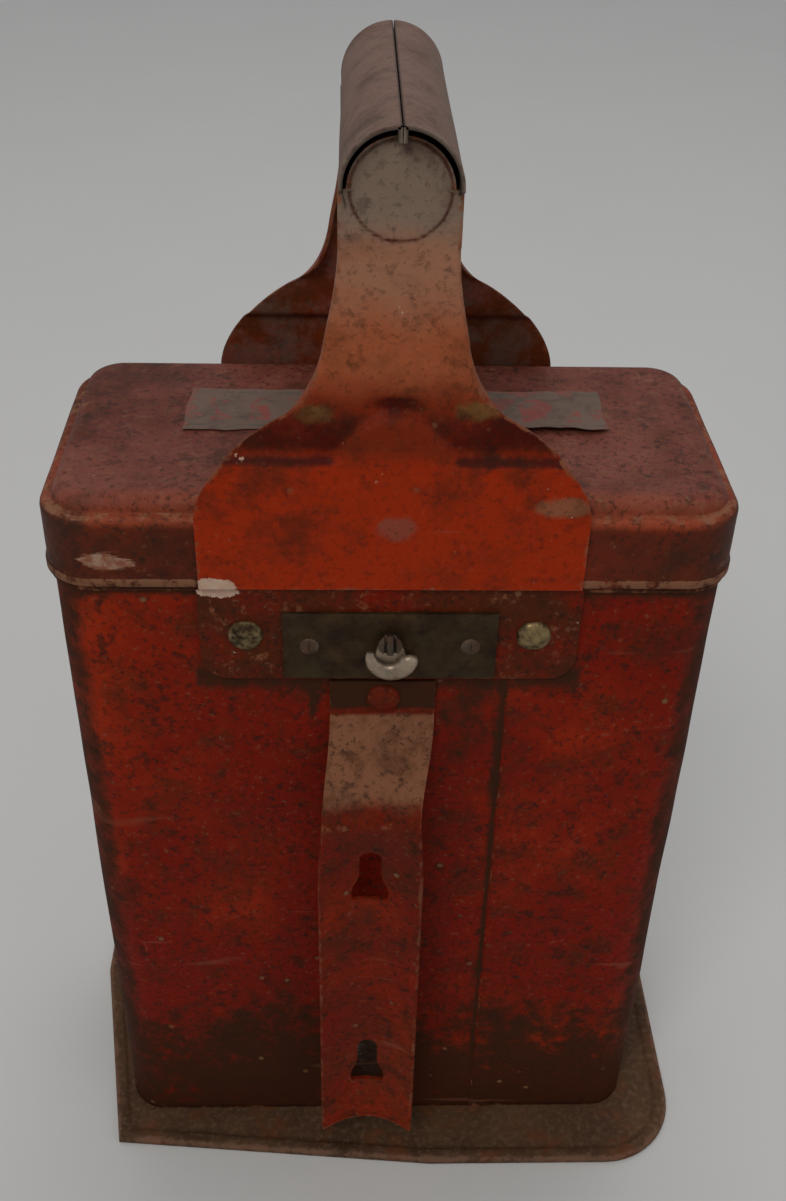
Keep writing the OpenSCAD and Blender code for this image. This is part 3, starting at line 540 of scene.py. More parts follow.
def rounded_loop(half_w, half_d, r, gap=3 * MM, steps=12, extra_front=()):
    """Anchors and outward normals round a rectangle with round corners, from the front's left."""
    straight_w, straight_d = half_w - r, half_d - r
    count_w, count_d = (max(2, round(2 * s / gap)) for s in (straight_w, straight_d))
    points = []
    spread = [-straight_w + 2 * straight_w * i / count_w for i in range(count_w)]
    front = sorted(set(spread + list(extra_front)))
    points += [((x, -straight_d), (0, -1)) for x in front]
    corners = [(straight_w, -straight_d, -90), (straight_w, straight_d, 0)]
    corners += [(-straight_w, straight_d, 90), (-straight_w, -straight_d, 180)]
    for number, (x, y, angle) in enumerate(corners):
        for i in range(steps):
            a = math.radians(angle + 90 * i / steps)
            points.append(((x, y), (math.cos(a), math.sin(a))))
        if number == 0:
            points += [((x, -straight_d + 2 * straight_d * i / count_d), (1, 0)) for i in range(count_d)]
        if number == 1:
            points += [((straight_w - 2 * straight_w * i / count_w, y), (0, 1)) for i in range(count_w)]
        if number == 2:
            points += [((x, straight_d - 2 * straight_d * i / count_d), (-1, 0)) for i in range(count_d)]
    return points


def ring_at(loop, r, out, z):
    return [(c[0] + (r + out) * n[0], c[1] + (r + out) * n[1], z) for c, n in loop]


def shrunk(ring, share, reach, z):
    """A ring drawn in towards a centre line that runs to +-reach along X."""
    return [
        (x + (min(max(x, -reach), reach) - x) * share, y * (1 - share), z)
        for x, y, _ in ring
    ]


def loft(rings, closed=False):
    """Quads between closed rings of equal length; closed joins the last ring to the first."""
    count = len(rings[0])
    verts = [p for ring in rings for p in ring]
    faces = []
    for row in range(len(rings) if closed else len(rings) - 1):
        here, there = row * count, (row + 1) % len(rings) * count
        for i in range(count):
            j = (i + 1) % count
            faces.append((here + i, here + j, there + j, there + i))
    return verts, faces


def end_caps(count, rows, pairs):
    """Quads that close a folded section of count points on its first and its last ring."""
    cap = []
    for start in (0, (rows - 1) * count):
        for i in range(pairs):
            cap.append((start + i, start + i + 1, start + count - 2 - i, start + count - 1 - i))
    return cap


def make_piece(name, verts, faces, finish, marks=None, sharp=50, cap=()):
    """A mesh object whose marks are float attributes on its points."""
    mesh = bpy.data.meshes.new(name)
    mesh.from_pydata([tuple(v) for v in verts], [], list(faces) + list(cap))
    for key in ("wear", "inside", "soil", "rub"):
        values = (marks or {}).get(key)
        if values is None:
            values = [0.0] * len(verts)
        mesh.attributes.new(key, "FLOAT", "POINT").data.foreach_set("value", np.array(values, np.float32))
    bm = bmesh.new()
    bm.from_mesh(mesh)
    bmesh.ops.remove_doubles(bm, verts=bm.verts, dist=0.02 * MM)
    bmesh.ops.dissolve_degenerate(bm, edges=bm.edges, dist=0.005 * MM)
    bmesh.ops.recalc_face_normals(bm, faces=bm.faces)
    bm.to_mesh(mesh)
    bm.free()
    mesh.polygons.foreach_set("use_smooth", [True] * len(mesh.polygons))
    mesh.set_sharp_from_angle(angle=math.radians(sharp))
    mesh.materials.append(finish)
    piece = bpy.data.objects.new(name, mesh)
    bpy.context.scene.collection.objects.link(piece)
    return piece


def settle(piece, body, *nodes):
    """The piece rides on its body and stands for its CAD nodes."""
    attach(piece, body)
    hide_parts(*nodes)
    return piece


def baked(piece):
    """Applies the piece's modifiers and puts its place in its mesh."""
    bpy.context.view_layer.update()
    tree = bpy.context.evaluated_depsgraph_get()
    mesh = bpy.data.meshes.new_from_object(piece.evaluated_get(tree))
    piece.modifiers.clear()
    mesh.transform(piece.matrix_world)
    piece.matrix_world = Matrix.Identity(4)
    piece.data = mesh
    return piece


def copy_points(node):
    mesh = frame["nodes"][node].data
    verts = [tuple(v.co) for v in mesh.vertices]
    faces = [tuple(p.vertices) for p in mesh.polygons]
    return verts, faces


def edge_marks(mesh, reach, sharp=30):
    """Writes wear near the mesh's sharp edges, and returns nothing."""
    bm = bmesh.new()
    bm.from_mesh(mesh)
    edges = [e for e in bm.edges if len(e.link_faces) == 2 and e.calc_face_angle() > math.radians(sharp)]
    near = {v.index for e in edges for v in e.verts}
    bm.free()
    values = [1.0 if i in near else 0.0 for i in range(len(mesh.vertices))]
    mesh.attributes["wear"].data.foreach_set("value", np.array(values, np.float32) * reach)


def softened(node, finish, edge=0.25 * MM, wear=0.9):
    """A CAD piece with its sharp edges rounded."""
    verts, faces = copy_points(node)
    piece = make_piece(node + "_soft", verts, faces, finish, sharp=35)
    bm = bmesh.new()
    bm.from_mesh(piece.data)
    flat = math.radians(1)
    bmesh.ops.dissolve_limit(bm, angle_limit=flat, verts=bm.verts, edges=bm.edges)
    bm.to_mesh(piece.data)
    bm.free()
    bevel = piece.modifiers.new("round", "BEVEL")
    bevel.width = edge
    bevel.segments = 2
    bevel.limit_method = "ANGLE"
    bevel.angle_limit = math.radians(35)
    baked(piece)
    piece.data.polygons.foreach_set("use_smooth", [True] * len(piece.data.polygons))
    piece.data.set_sharp_from_angle(angle=math.radians(40))
    edge_marks(piece.data, wear, 12)
    return piece


# --- Box -----------------------------------------------------------------------------------

SEAM_LOW_X, SEAM_HIGH_X = 35 * MM, 43 * MM
SEAM_RISE = 0.45 * MM


def seam_rise(x, y, z):
    """The lap of the wall sheet on the front: a crisp step on the left, soldered flat on the right."""
    if y > FRONT_Y + 5 * MM or z > low("lock_mount_plate").z - 2 * MM:
        return 0.0
    climb = smooth(x, SEAM_LOW_X, SEAM_LOW_X + 0.5 * MM)
    return SEAM_RISE * climb * (1 - smooth(x, SEAM_HIGH_X - 3 * MM, SEAM_HIGH_X))


def wall_dent(x, y, z):
    """Unevenness of the box walls, none near the mouth, the foot and the front fittings."""
    free = smooth(z, FLOOR_Z, FLOOR_Z + 25 * MM) * (1 - smooth(z, SKIRT_Z - 30 * MM, SKIRT_Z - 5 * MM))
    strap_gap = 1.0 if y > 0 else smooth(abs(x), 12 * MM, 24 * MM)
    wave = 0.55 * dent(x, y, z, 60 * MM, 1) + 0.30 * dent(x, y, z, 24 * MM, 2)
    return free * strap_gap * wave * MM


def wall_shade_and_soil(x, y, z):
    """Painted shade under the lid's skirt, below the lock's mounting plate, on the box's sides and back and
    at its front corners; a dark line along the seam, one left of the strap's tab, and a darker band right
    of the strap.
    """
    under_lid = smooth(z, SKIRT_Z - 9 * MM, SKIRT_Z - 1 * MM) * 0.8
    # Painted shade: the sides and back are darker, more so where the front corners turn away.
    if y > FRONT_Y + CORNER_R:
        return max(under_lid, 0.40)
    if y > FRONT_Y + 6 * MM:
        return max(under_lid, 0.62)
    plate_low = low("lock_mount_plate").z
    under_plate = hump(z, plate_low, 7 * MM) * (abs(x) < 56 * MM) * 0.7
    seam = hump(x, SEAM_LOW_X - 0.6 * MM, 1 * MM) * (z < plate_low) * 0.8
    corner = smooth(abs(x), HALF_W - CORNER_R - 1 * MM, HALF_W - 5 * MM) * 0.62
    tab_side = hump(x, -22 * MM, 1.2 * MM) * smooth(z, 196 * MM, 206 * MM) * (z < plate_low)
    right = hump(x, 24 * MM, 13 * MM) * smooth(z, 120 * MM, 205 * MM) * 0.55
    return max(under_lid, under_plate, seam, tab_side * 0.9, right, corner)


def body_walls():
    bead_z = SKIRT_Z - 1.3 * MM
    rows = [FLOOR_Z + 3 * MM + i * 3.5 * MM for i in range(69)]
    rows = [z for z in rows if z < bead_z - 3 * MM]
    outer = [(0, FLOOR_Z + 0.4 * MM)] + [(0, z) for z in rows]
    for i in range(9):
        a = math.pi * (i / 8 - 0.5)
        outer.append((BEAD_OUT * max(math.cos(a), 0.0), bead_z + 1.0 * MM * math.sin(a)))
    outer += [(0, MOUTH_Z - 5 * MM), (0, MOUTH_Z - 0.7 * MM), (-0.25 * MM, MOUTH_Z - 0.15 * MM)]
    hem_foot = MOUTH_Z - 6 * MM
    inner = [(-0.8 * MM, MOUTH_Z), (-1.35 * MM, MOUTH_Z - 0.15 * MM), (-1.6 * MM, MOUTH_Z - 0.6 * MM)]
    inner += [(-1.6 * MM, hem_foot + 0.3 * MM), (-1.4 * MM, hem_foot), (-SHEET, hem_foot)]
    inner += [(-SHEET, z) for z in reversed(rows)] + [(-SHEET, FLOOR_Z + 0.4 * MM), (-0.4 * MM, FLOOR_Z)]
    extra = [SEAM_LOW_X + d * MM for d in (-0.6, 0.0, 0.25, 0.5, 1.2)]
    extra += [SEAM_HIGH_X - 1.5 * MM, SEAM_HIGH_X]
    loop = rounded_loop(HALF_W, HALF_D, CORNER_R, extra_front=extra)
    plate_lo, plate_hi = low("lock_mount_plate").x - 1 * MM, high("lock_mount_plate").x + 1 * MM
    hinge_x = high("hinge_body_leaf").x + 1 * MM
    rings, wear, inside, soil = [], [], [], []
    for out, z in outer + inner:
        ring = []
        for c, n in loop:
            push = out
            covered = (n[1] < -0.99 and plate_lo < c[0] < plate_hi) or (n[1] > 0.99 and abs(c[0]) < hinge_x)
            if out > 0 and covered:
                push = 0
            x, y = c[0] + (CORNER_R + push) * n[0], c[1] + (CORNER_R + push) * n[1]
            move = wall_dent(x, y, z) + (seam_rise(x, y, z) if n[1] < -0.99 and out >= 0 else 0)
            ring.append((x + n[0] * move, y + n[1] * move, z))
            corner = 1 - abs(abs(n[0]) - abs(n[1]))
            foot = 1 - smooth(z, FLOOR_Z, FLOOR_Z + 5 * MM)
            bead = 0.55 if out > 0.4 * MM else 0.0
            step = 0.5 if n[1] < -0.99 and abs(x - SEAM_LOW_X - 0.4 * MM) < 0.4 * MM else 0.0
            mouth = smooth(z, MOUTH_Z - 1 * MM, MOUTH_Z)
            wear.append(max(0.32 * corner, foot * 0.6, bead, mouth, step))
            inside.append(1.0 if out < -0.5 * MM else 0.0)
            soil.append(wall_shade_and_soil(x, y, z) if out > -0.5 * MM else 0.0)
        rings.append(ring)
    verts, faces = loft(rings, closed=True)
    foot = (FLOOR_Z + 8 * MM, FLOOR_Z + 105 * MM)
    rubs = [((STRAP_X + 1 * MM, FRONT_Y, 40 * MM), (8 * MM, 8 * MM, 26 * MM), (0.30, 0.25, 0.20), 0.9)]
    finish = paint("body_paint", 0.43, foot, rubs)
    piece = make_piece("box_walls", verts, faces, finish, {"wear": wear, "inside": inside, "soil": soil})
    settle(piece, "box", "body_shell")


def base_outline():
    """Dense points round the base plate and their inward normals."""
    half_w, half_d = high("base_plate").x, high("base_plate").y
    r = 28 * MM
    bent = (-half_w + 15 * MM, -half_d + 10 * MM)
    path = [bent, (half_w / 6, -half_d)]
    far_x, far_y = half_w - r, half_d - r
    for x, y, angle in ((far_x, -far_y, -90), (far_x, far_y, 0), (-far_x, far_y, 90)):
        path += [(x + r * math.cos(math.radians(angle + a)), y + r * math.sin(math.radians(angle + a)))
                 for a in range(0, 91, 6)]
    path.append((-half_w, half_d / 3))
    dense = []
    for a, b in zip(path, path[1:] + path[:1]):
        count = max(1, round(math.dist(a, b) / (4 * MM)))
        for i in range(count):
            dense.append(tuple(p + (q - p) * i / count for p, q in zip(a, b)))
    normals = []
    for i in range(len(dense)):
        before, after = dense[i - 1], dense[(i + 1) % len(dense)]
        tangent = Vector((after[0] - before[0], after[1] - before[1])).normalized()
        normals.append((-tangent.y, tangent.x))
    return dense, normals


def base_sheet():
    points, inward = base_outline()
    plate_top = FLOOR_Z

    bent_corner = points[0]

    def ring(inset, z):
        made = []
        for (x, y), (nx, ny) in zip(points, inward):
            wave = 0.35 * MM * dent(x, y, 0, 50 * MM, 5)
            at_x, at_y = x + nx * inset, y + ny * inset
            if math.dist((x, y), bent_corner) < 20 * MM:
                for edge_x, edge_y in (inward[3], inward[-3]):
                    depth = (at_x - bent_corner[0]) * edge_x + (at_y - bent_corner[1]) * edge_y
                    lack = max(inset - depth, 0)
                    at_x, at_y = at_x + edge_x * lack, at_y + edge_y * lack
            made.append((at_x, at_y, max(z + wave * (z > 0.5 * MM), 0)))
        return made

    foot = ((3.0, 0.0), (0.5, 0.0), (0.1, 0.5), (0.0, 1.4))
    hem = ((0.2, -0.6), (0.8, -0.1), (2.2, 0.0), (4.0, -0.1), (4.8, -0.5))
    profile = [(inset * MM, z * MM) for inset, z in foot]
    profile += [(inset * MM, BASE_TOP_Z + z * MM) for inset, z in hem]
    profile += [(5.1 * MM, plate_top), (6.5 * MM, plate_top)]
    rings = [ring(inset, z) for inset, z in profile]
    reach = 46 * MM
    rings = [shrunk(rings[0], s, reach, 0) for s in (1, 0.66, 0.33)] + rings
    inner = rings[-1]
    rings += [shrunk(inner, s, reach, plate_top) for s in (0.12, 0.25, 0.4, 0.6, 0.8, 1)]
    verts, faces = loft(rings)
    wear = []
    for number in range(len(rings)):
        value = {5: 0.5, 6: 0.6, 7: 0.75, 8: 0.7, 9: 0.4}.get(number, 0.0)
        wear += [value] * len(points)
    piece = make_piece("base_sheet", verts, faces, base_metal(), {"wear": wear}, sharp=60)
    settle(piece, "box", "base_plate")


# --- Lid ---------------------------------------------------------------------------------------

def lid_profile(inset):
    """Section of the lid from its skirt's foot to the flat of its crown, set in by the sheet."""
    crown_r, bend_r = CROWN_R - inset, 2 * MM - inset
    centre_out, centre_z = -LEDGE_W - CROWN_R, LID_TOP_Z - CROWN_R
    points = [(-inset, SKIRT_Z + z * MM) for z in (4, 7, 10, 13, 16, 18)]
    for a in (0, 25, 50, 75, 90):
        angle = math.radians(a)
        out, up = bend_r * math.cos(angle), bend_r * math.sin(angle)
        points.append((out - 2 * MM, LEDGE_Z - 2 * MM + up))
    points.append((-LEDGE_W + 0.7 * MM - inset, LEDGE_Z - inset - 0.1 * MM))
    points.append((-LEDGE_W + 0.1 * MM - inset, LEDGE_Z - inset + 0.15 * MM))
    for a in range(8, 91, 12):
        angle = math.radians(a)
        points.append((centre_out + crown_r * math.cos(angle), centre_z + crown_r * math.sin(angle)))
    return points


def lid_pan():
    loop = rounded_loop(LID_HALF_W, LID_HALF_D, LID_CORNER_R, steps=14)
    reach = LID_HALF_W - LID_HALF_D
    shares = (0.06, 0.14, 0.24, 0.36, 0.5, 0.66, 0.83, 1)
    outer, inner = lid_profile(0), lid_profile(SHEET)
    foot = [(-SHEET, SKIRT_Z + 0.35 * MM), (-0.45 * MM, SKIRT_Z), (0.2 * MM, SKIRT_Z)]
    foot += [(HEM_OUT, SKIRT_Z + 0.35 * MM), (HEM_OUT, SKIRT_Z + 1.6 * MM), (HEM_OUT, SKIRT_Z + 2.7 * MM)]
    foot += [(0.15 * MM, SKIRT_Z + 3.1 * MM)]
    outer_rings = [ring_at(loop, LID_CORNER_R, out, z) for out, z in foot + outer]
    inner_rings = [ring_at(loop, LID_CORNER_R, out, z) for out, z in inner]
    crown = [shrunk(outer_rings[-1], s, reach, LID_TOP_Z) for s in shares]
    ceiling = [shrunk(inner_rings[-1], s, reach, LID_TOP_Z - SHEET) for s in shares]
    rings = list(reversed(ceiling)) + list(reversed(inner_rings)) + outer_rings + crown
    marks, hidden = [], []
    hem_row = len(ceiling) + len(inner_rings)
    for number, ring in enumerate(rings):
        for i, (x, y, z) in enumerate(ring):
            flat = smooth(z, LEDGE_Z + 3 * MM, LID_TOP_Z - 1.2 * MM)
            middle = smooth(LID_HALF_W - abs(x), 5 * MM, 20 * MM)
            middle *= smooth(LID_HALF_D - abs(y), 5 * MM, 18 * MM)
            sink = 0.35 * MM * (dent(x, y, 0, 40 * MM, 3) - 1) * flat * middle
            n = loop[i][1]
            free = smooth(z, SKIRT_Z + 9 * MM, SKIRT_Z + 15 * MM) * (1 - flat)
            push = 0.22 * MM * dent(x, y, z, 18 * MM, 4) * free
            ring[i] = (x + n[0] * push, y + n[1] * push, z + sink)
            corner = 1 - abs(abs(n[0]) - abs(n[1]))
            hem = 0.75 if hem_row + 2 <= number <= hem_row + 5 else 0.0
            ledge = 0.55 if abs(z - LEDGE_Z) < 0.8 * MM else 0.0
            rim = 0.42 * smooth(z, LEDGE_Z + 2 * MM, LEDGE_Z + 3.6 * MM) * (1 - middle)
            marks.append(max(hem, ledge + 0.2 * corner, rim, 0.3 * corner))
            hidden.append(1.0 if number < hem_row else 0.0)
    verts, faces = loft(rings)
    piece = make_piece("lid_pan", verts, faces, lid_paint(), {"wear": marks, "inside": hidden}, sharp=60)
    settle(piece, "lid", "lid_shell")


def paper_label():
    """Thin wavy sheet whose front right edge has come unstuck."""
    lo_corner, hi_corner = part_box("lid_label")
    columns, rows = 84, 20
    top, under, wear = [], [], []
    for r in range(rows + 1):
        for c in range(columns + 1):
            u, v = c / columns, r / rows
            x = lo_corner.x + (hi_corner.x - lo_corner.x) * u
            y = lo_corner.y + (hi_corner.y - lo_corner.y) * v
            edge = min(u, 1 - u, v * 0.25, (1 - v) * 0.25)
            x += 1.1 * MM * dent(x, y, 0, 7 * MM, 11) * (1 - smooth(edge, 0, 0.05))
            y += 1.0 * MM * dent(x, y, 0, 6 * MM, 12) * (1 - smooth(edge, 0, 0.05))
            lift = 1.5 * MM * smooth(u, 0.60, 0.80) * smooth(1 - v, 0.80, 1.0)
            lift *= 1 - 0.5 * smooth(u, 0.88, 1.0)
            wave = 0.12 * MM * (1 + dent(x, y, 0, 9 * MM, 13))
            z = LID_TOP_Z + 0.05 * MM + wave + lift
            top.append((x, y, z))
            under.append((x, y, z - 0.22 * MM))
            wear.append(1 - smooth(edge, 0.0, 0.06))
    count = len(top)
    width = columns + 1
    faces = []
    for r in range(rows):
        for c in range(columns):
            a = r * width + c
            quad = (a, a + 1, a + 1 + width, a + width)
            faces.append(quad)
            faces.append(tuple(count + i for i in reversed(quad)))
    rim = list(range(columns)) + [columns + r * width for r in range(rows)]
    rim += [count - 1 - c for c in range(columns)] + [(rows - r) * width for r in range(rows)]
    for a, b in zip(rim, rim[1:] + rim[:1]):
        faces.append((b, a, count + a, count + b))
    piece = make_piece("paper_label", top + under, faces, label_paper(), {"wear": wear + wear})
    settle(piece, "lid", "lid_label")


# --- Handle ----------------------------------------------------------------------------------------

PLATE_T = 1 * MM
PLATE_OUT_Y = -low("front_handle_bracket").y
PLATE_HALF_W = high("front_handle_bracket").x
NECK_HALF_W = GRIP_R + 0.1 * MM
NECK_SET_BACK = 2.5 * MM
DISC_R = 12.6 * MM
DISC_Z = GRIP_Z - 1.5 * MM
NECK_ROOT_Z = LID_TOP_Z + 26 * MM
NECK_LOW_Z = NECK_ROOT_Z + 20 * MM
NECK_TOP_Z = GRIP_Z - GRIP_R
FLANGE_W = 5 * MM


def bezier(points, t):
    weights = ((1 - t) ** 3, 3 * t * (1 - t) ** 2, 3 * t * t * (1 - t), t ** 3)
    return tuple(sum(w * p[axis] for w, p in zip(weights, points)) for axis in (0, 1))


def plate_edge():
    """Half outline of a handle plate as (half width, z) from the skirt's foot to the neck's top."""
    root, narrow = 2 * GRIP_R, NECK_HALF_W + 3.4 * MM
    shoulder = LEDGE_Z + 0.5 * MM
    curves = [
        [(PLATE_HALF_W, shoulder), (PLATE_HALF_W, shoulder + 9 * MM),
         (root + 14 * MM, NECK_ROOT_Z - 8 * MM), (root, NECK_ROOT_Z)],
        [(root, NECK_ROOT_Z), (root - 6 * MM, NECK_ROOT_Z + 3.4 * MM),
         (narrow + 1.4 * MM, NECK_LOW_Z - 10 * MM), (narrow, NECK_LOW_Z)],
        [(narrow, NECK_LOW_Z), (narrow - 1 * MM, NECK_LOW_Z + 6 * MM),
         (NECK_HALF_W, NECK_LOW_Z + 14 * MM), (NECK_HALF_W, NECK_TOP_Z)],
    ]
    edge = [(PLATE_HALF_W, SKIRT_Z)]
    for points in curves:
        edge += [bezier(points, i / 24) for i in range(24)]
    return edge + [(NECK_HALF_W, NECK_TOP_Z), (NECK_HALF_W, DISC_Z)]


EDGE = plate_edge()


def half_width(z):
    """Half width of the plate at a height; a round head closes it."""
    if z > DISC_Z:
        return math.sqrt(max(DISC_R ** 2 - (z - DISC_Z) ** 2, (0.8 * MM) ** 2))
    return float(np.interp(z, [p[1] for p in EDGE], [p[0] for p in EDGE]))


CREASE_Z = NECK_ROOT_Z - 12 * MM
RIB_TOP_Z = NECK_ROOT_Z + 1 * MM


def rib_share(x, z):
    """The raised rib that runs from the plate up into the neck, 1 on it and 0 beside it."""
    half = 18 * MM - 9.5 * MM * smooth(z, CREASE_Z - 2 * MM, RIB_TOP_Z + 3 * MM)
    top = RIB_TOP_Z - 5 * MM * (x / (11 * MM)) ** 2
    return (1 - smooth(abs(x), half * 0.72, half)) * (1 - smooth(z, top - 1.2 * MM, top + 1.2 * MM))


def recess_share(x, z):
    """The shoulders beside the rib that are pressed back, 1 in them."""
    step = smooth(z, CREASE_Z - 1.2 * MM, CREASE_Z + 1.4 * MM)
    return step * (1 - rib_share(x, z))


def disc_away(x, z):
    return math.hypot(x, z - DISC_Z)


def relief(x, z):
    """How far the plate's outer face stands back from its lower plane."""
    back = NECK_SET_BACK * recess_share(x, z)
    over_rib = hump(x, 0, 9 * MM) * hump(z, RIB_TOP_Z + 3 * MM, 3 * MM)
    crown = smooth(z, NECK_ROOT_Z + 4 * MM, NECK_LOW_Z) * (x / NECK_HALF_W) ** 2 * 0.8 * MM
    disc = 0.6 * MM * (1 - smooth(disc_away(x, z), DISC_R - 1.3 * MM, DISC_R - 0.6 * MM))
    dimple = 0.35 * MM * (1 - smooth(disc_away(x, z + 3 * MM), 0, 6 * MM))
    worn = 0.26 * MM * dent(x, 0, z, 17 * MM, 21) + 0.10 * MM * dent(x, 0, z, 6 * MM, 22)
    room = smooth(z, SKIRT_Z + 2 * MM, SKIRT_Z + 8 * MM)
    return back + over_rib * 1.1 * MM + crown - disc + dimple + 0.36 * MM + worn * room


def plate_shade(x, z):
    """Painted shade in the pressed-back recess, over the rib's arched top and along the neck's root, with a
    darker ring round the disc.
    """
    pressed = smooth(z, CREASE_Z - 2.5 * MM, CREASE_Z + 5 * MM) * (1 - rib_share(x, z))
    recess = pressed * (1 - smooth(z, CREASE_Z + 8 * MM, CREASE_Z + 20 * MM))
    arch = hump(x, 0, 9 * MM) * hump(z, RIB_TOP_Z + 3 * MM, 3.2 * MM)
    crease = hump(z, CREASE_Z, 1.5 * MM) * (1 - rib_share(x, z))
    ring = hump(disc_away(x, z), DISC_R - 0.7 * MM, 0.8 * MM) * 0.6
    return min(max(recess * 0.66, arch * 0.8, crease * 0.8, ring), 1.0)


def plate_section(z, across=56):
    """Closed section of the plate at a height: outer face, turned-back edges, inner face."""
    half = half_width(z)
    flange = FLANGE_W * smooth(z, NECK_ROOT_Z - 2 * MM, NECK_ROOT_Z + 7 * MM)
    flange *= 1 - smooth(z, NECK_TOP_Z - 3 * MM, NECK_TOP_Z)
    bend = min(1.3 * MM, half * 0.3)
    turn = smooth(flange, 0, 2 * MM)
    outer = []
    for i in range(across + 1):
        x = (half - bend) * (2 * i / across - 1)
        outer.append((x, -PLATE_OUT_Y + relief(x, z), 0.0, -1.0))
    side_y = -PLATE_OUT_Y + relief(half - bend, z)
    right = []
    for a in (22.5, 45, 67.5, 90):
        angle = math.radians(a)
        reach = bend * (math.sin(angle) * turn + a / 90 * (1 - turn))
        fold = bend * (1 - math.cos(angle)) * turn
        lean = angle * turn
        right.append((half - bend + reach, side_y + fold, math.sin(lean), -math.cos(lean)))
    for share in (0.35, 0.7, 1):
        x, y, nx, ny = right[3]
        deep = max(flange - bend, 0.03 * MM) * share * turn
        right.append((x + 0.02 * MM * share * (1 - turn), y + deep, nx, ny))
    left = [(-x, y, -nx, ny) for x, y, nx, ny in reversed(right)]
    path = left + outer + right
    thick = [(x - nx * PLATE_T, y - ny * PLATE_T) for x, y, nx, ny in reversed(path)]
    return [(x, y, z) for x, y, _, _ in path] + [(x, y, z) for x, y in thick], len(path)


def handle_plate(name, body, node, sign, finish):
    rows = [SKIRT_Z, SKIRT_Z + 0.4 * MM]
    rows += list(np.arange(SKIRT_Z + 2 * MM, DISC_Z + DISC_R - 0.6 * MM, 1.0 * MM))
    rows += [DISC_Z + DISC_R - 0.3 * MM, DISC_Z + DISC_R - 0.04 * MM]
    rings, wear, inside, soil = [], [], [], []
    for z in rows:
        section, front_count = plate_section(z)
        rings.append([(x, sign * y, z) for x, y, z in section])
        half = half_width(z)
        for i, (x, y, _) in enumerate(section):
            rim = 1 - smooth(half - abs(x), 0.3 * MM, 2.6 * MM)
            foot = 1 - smooth(z, SKIRT_Z, SKIRT_Z + 1.6 * MM)
            head = smooth(z, DISC_Z + DISC_R - 3 * MM, DISC_Z + DISC_R)
            wear.append(max(rim * 0.62, foot * 0.6, head * 0.7))
            inside.append(0.35 if i >= front_count else 0.0)
            soil.append(plate_shade(x, z) if i < front_count else 0.0)
    verts, faces = loft(rings)
    count = len(rings[0])
    cap = end_caps(count, len(rings), count // 2 - 1)
    marks = {"wear": wear, "inside": inside, "soil": soil}
    piece = make_piece(name, verts, faces, finish, marks, cap=cap, sharp=55)
    settle(piece, body, node)


def grip_roll():
    """Sheet rolled into a tube, its two edges meeting on top and turned in."""
    radius, sheet = GRIP_R, 1 * MM
    half_gap, lip = 0.12 * MM, 4 * MM
    bend = 0.45 * MM
    start = math.asin((half_gap + bend) / radius)
    path = []
    top = radius * math.cos(start)
    for depth in (lip, lip * 0.7, lip * 0.4):
        path.append((half_gap, top - depth, -1.0, 0.0))
    for a in (0, 30, 60, 90):
        angle = math.radians(a)
        path.append((half_gap + bend * (1 - math.cos(angle)), top - bend + bend * math.sin(angle),
                     -math.cos(angle), math.sin(angle)))
    steps = 72
    for i in range(1, steps):
        angle = start + (2 * math.pi - 2 * start) * i / steps
        path.append((radius * math.sin(angle), radius * math.cos(angle), math.sin(angle), math.cos(angle)))
    path += [(-x, z, -nx, nz) for x, z, nx, nz in reversed(path[:7])]
    count = len(path)
    section = [(x, z) for x, z, _, _ in path]
    section += [(x - nx * sheet, z - nz * sheet) for x, z, nx, nz in reversed(path)]
    slices = 40
    rings, wear, inside = [], [], []
    short = PLATE_OUT_Y - NECK_SET_BACK - PLATE_T - 0.1 * MM
    for s in range(slices + 1):
        share = 2 * s / slices - 1
        ring = []
        for i, (x, z) in enumerate(section):
            cut = smooth(z, DISC_Z - GRIP_Z - 0.6 * MM, DISC_Z - GRIP_Z + 0.6 * MM)
            end = short + (GRIP_END_Y - short) * cut
            y = end * share
            squeeze = 1 - 0.010 * (1 + dent(x * 0.6, y, z * 0.6, 34 * MM, 31)) * (1 - share ** 4)
            ring.append((x * squeeze, y, GRIP_Z + z * squeeze))
            tip = 1 - smooth((1 - abs(share)) * GRIP_END_Y, 0, 2.2 * MM)
            wear.append(max(tip * 0.7, 0.35 * smooth(z, radius * 0.9, radius)))
            inside.append(1.0 if i >= count else 0.0)
        rings.append(ring)
    verts, faces = loft(rings)
    cap = end_caps(len(section), len(rings), count - 1)
    marks = {"wear": wear, "inside": inside}
    piece = make_piece("grip_roll", verts, faces, grip_finish(), marks, cap=cap, sharp=50)
    settle(piece, "lid", "grip_tube")


# --- Hanger strap -------------------------------------------------------------------------------------

STRAP_T = 1.2 * MM
STRAP_X = (low("hanger_strap").x + high("hanger_strap").x) / 2
STRAP_HALF_W = high("hanger_strap").x - STRAP_X
STRAP_EDGE_Y = low("hanger_strap").y
STRAP_DISH = 6.5 * MM
STRAP_FOOT_Z = low("hanger_strap").z
STRAP_TOP_Z = high("hanger_strap").z
STRAP_BEND_Z = STRAP_TOP_Z - 13.5 * MM
STRAP_SLOPE_Z = STRAP_BEND_Z - 29.5 * MM
KEYHOLE_LOW_Z = STRAP_FOOT_Z + 43 * MM
KEYHOLE_HIGH_Z = STRAP_SLOPE_Z - 17.5 * MM
KEYHOLE_NECK_R = 3.5 * MM
KEYHOLE_FOOT_R = 6 * MM
KEYHOLE_H = 23 * MM


def strap_middle(z):
    """The strap leans: its tab sits a little right of the upright part."""
    lean = smooth(z, STRAP_SLOPE_Z, STRAP_BEND_Z)
    return STRAP_X - 0.6 * MM + 3.0 * MM * lean


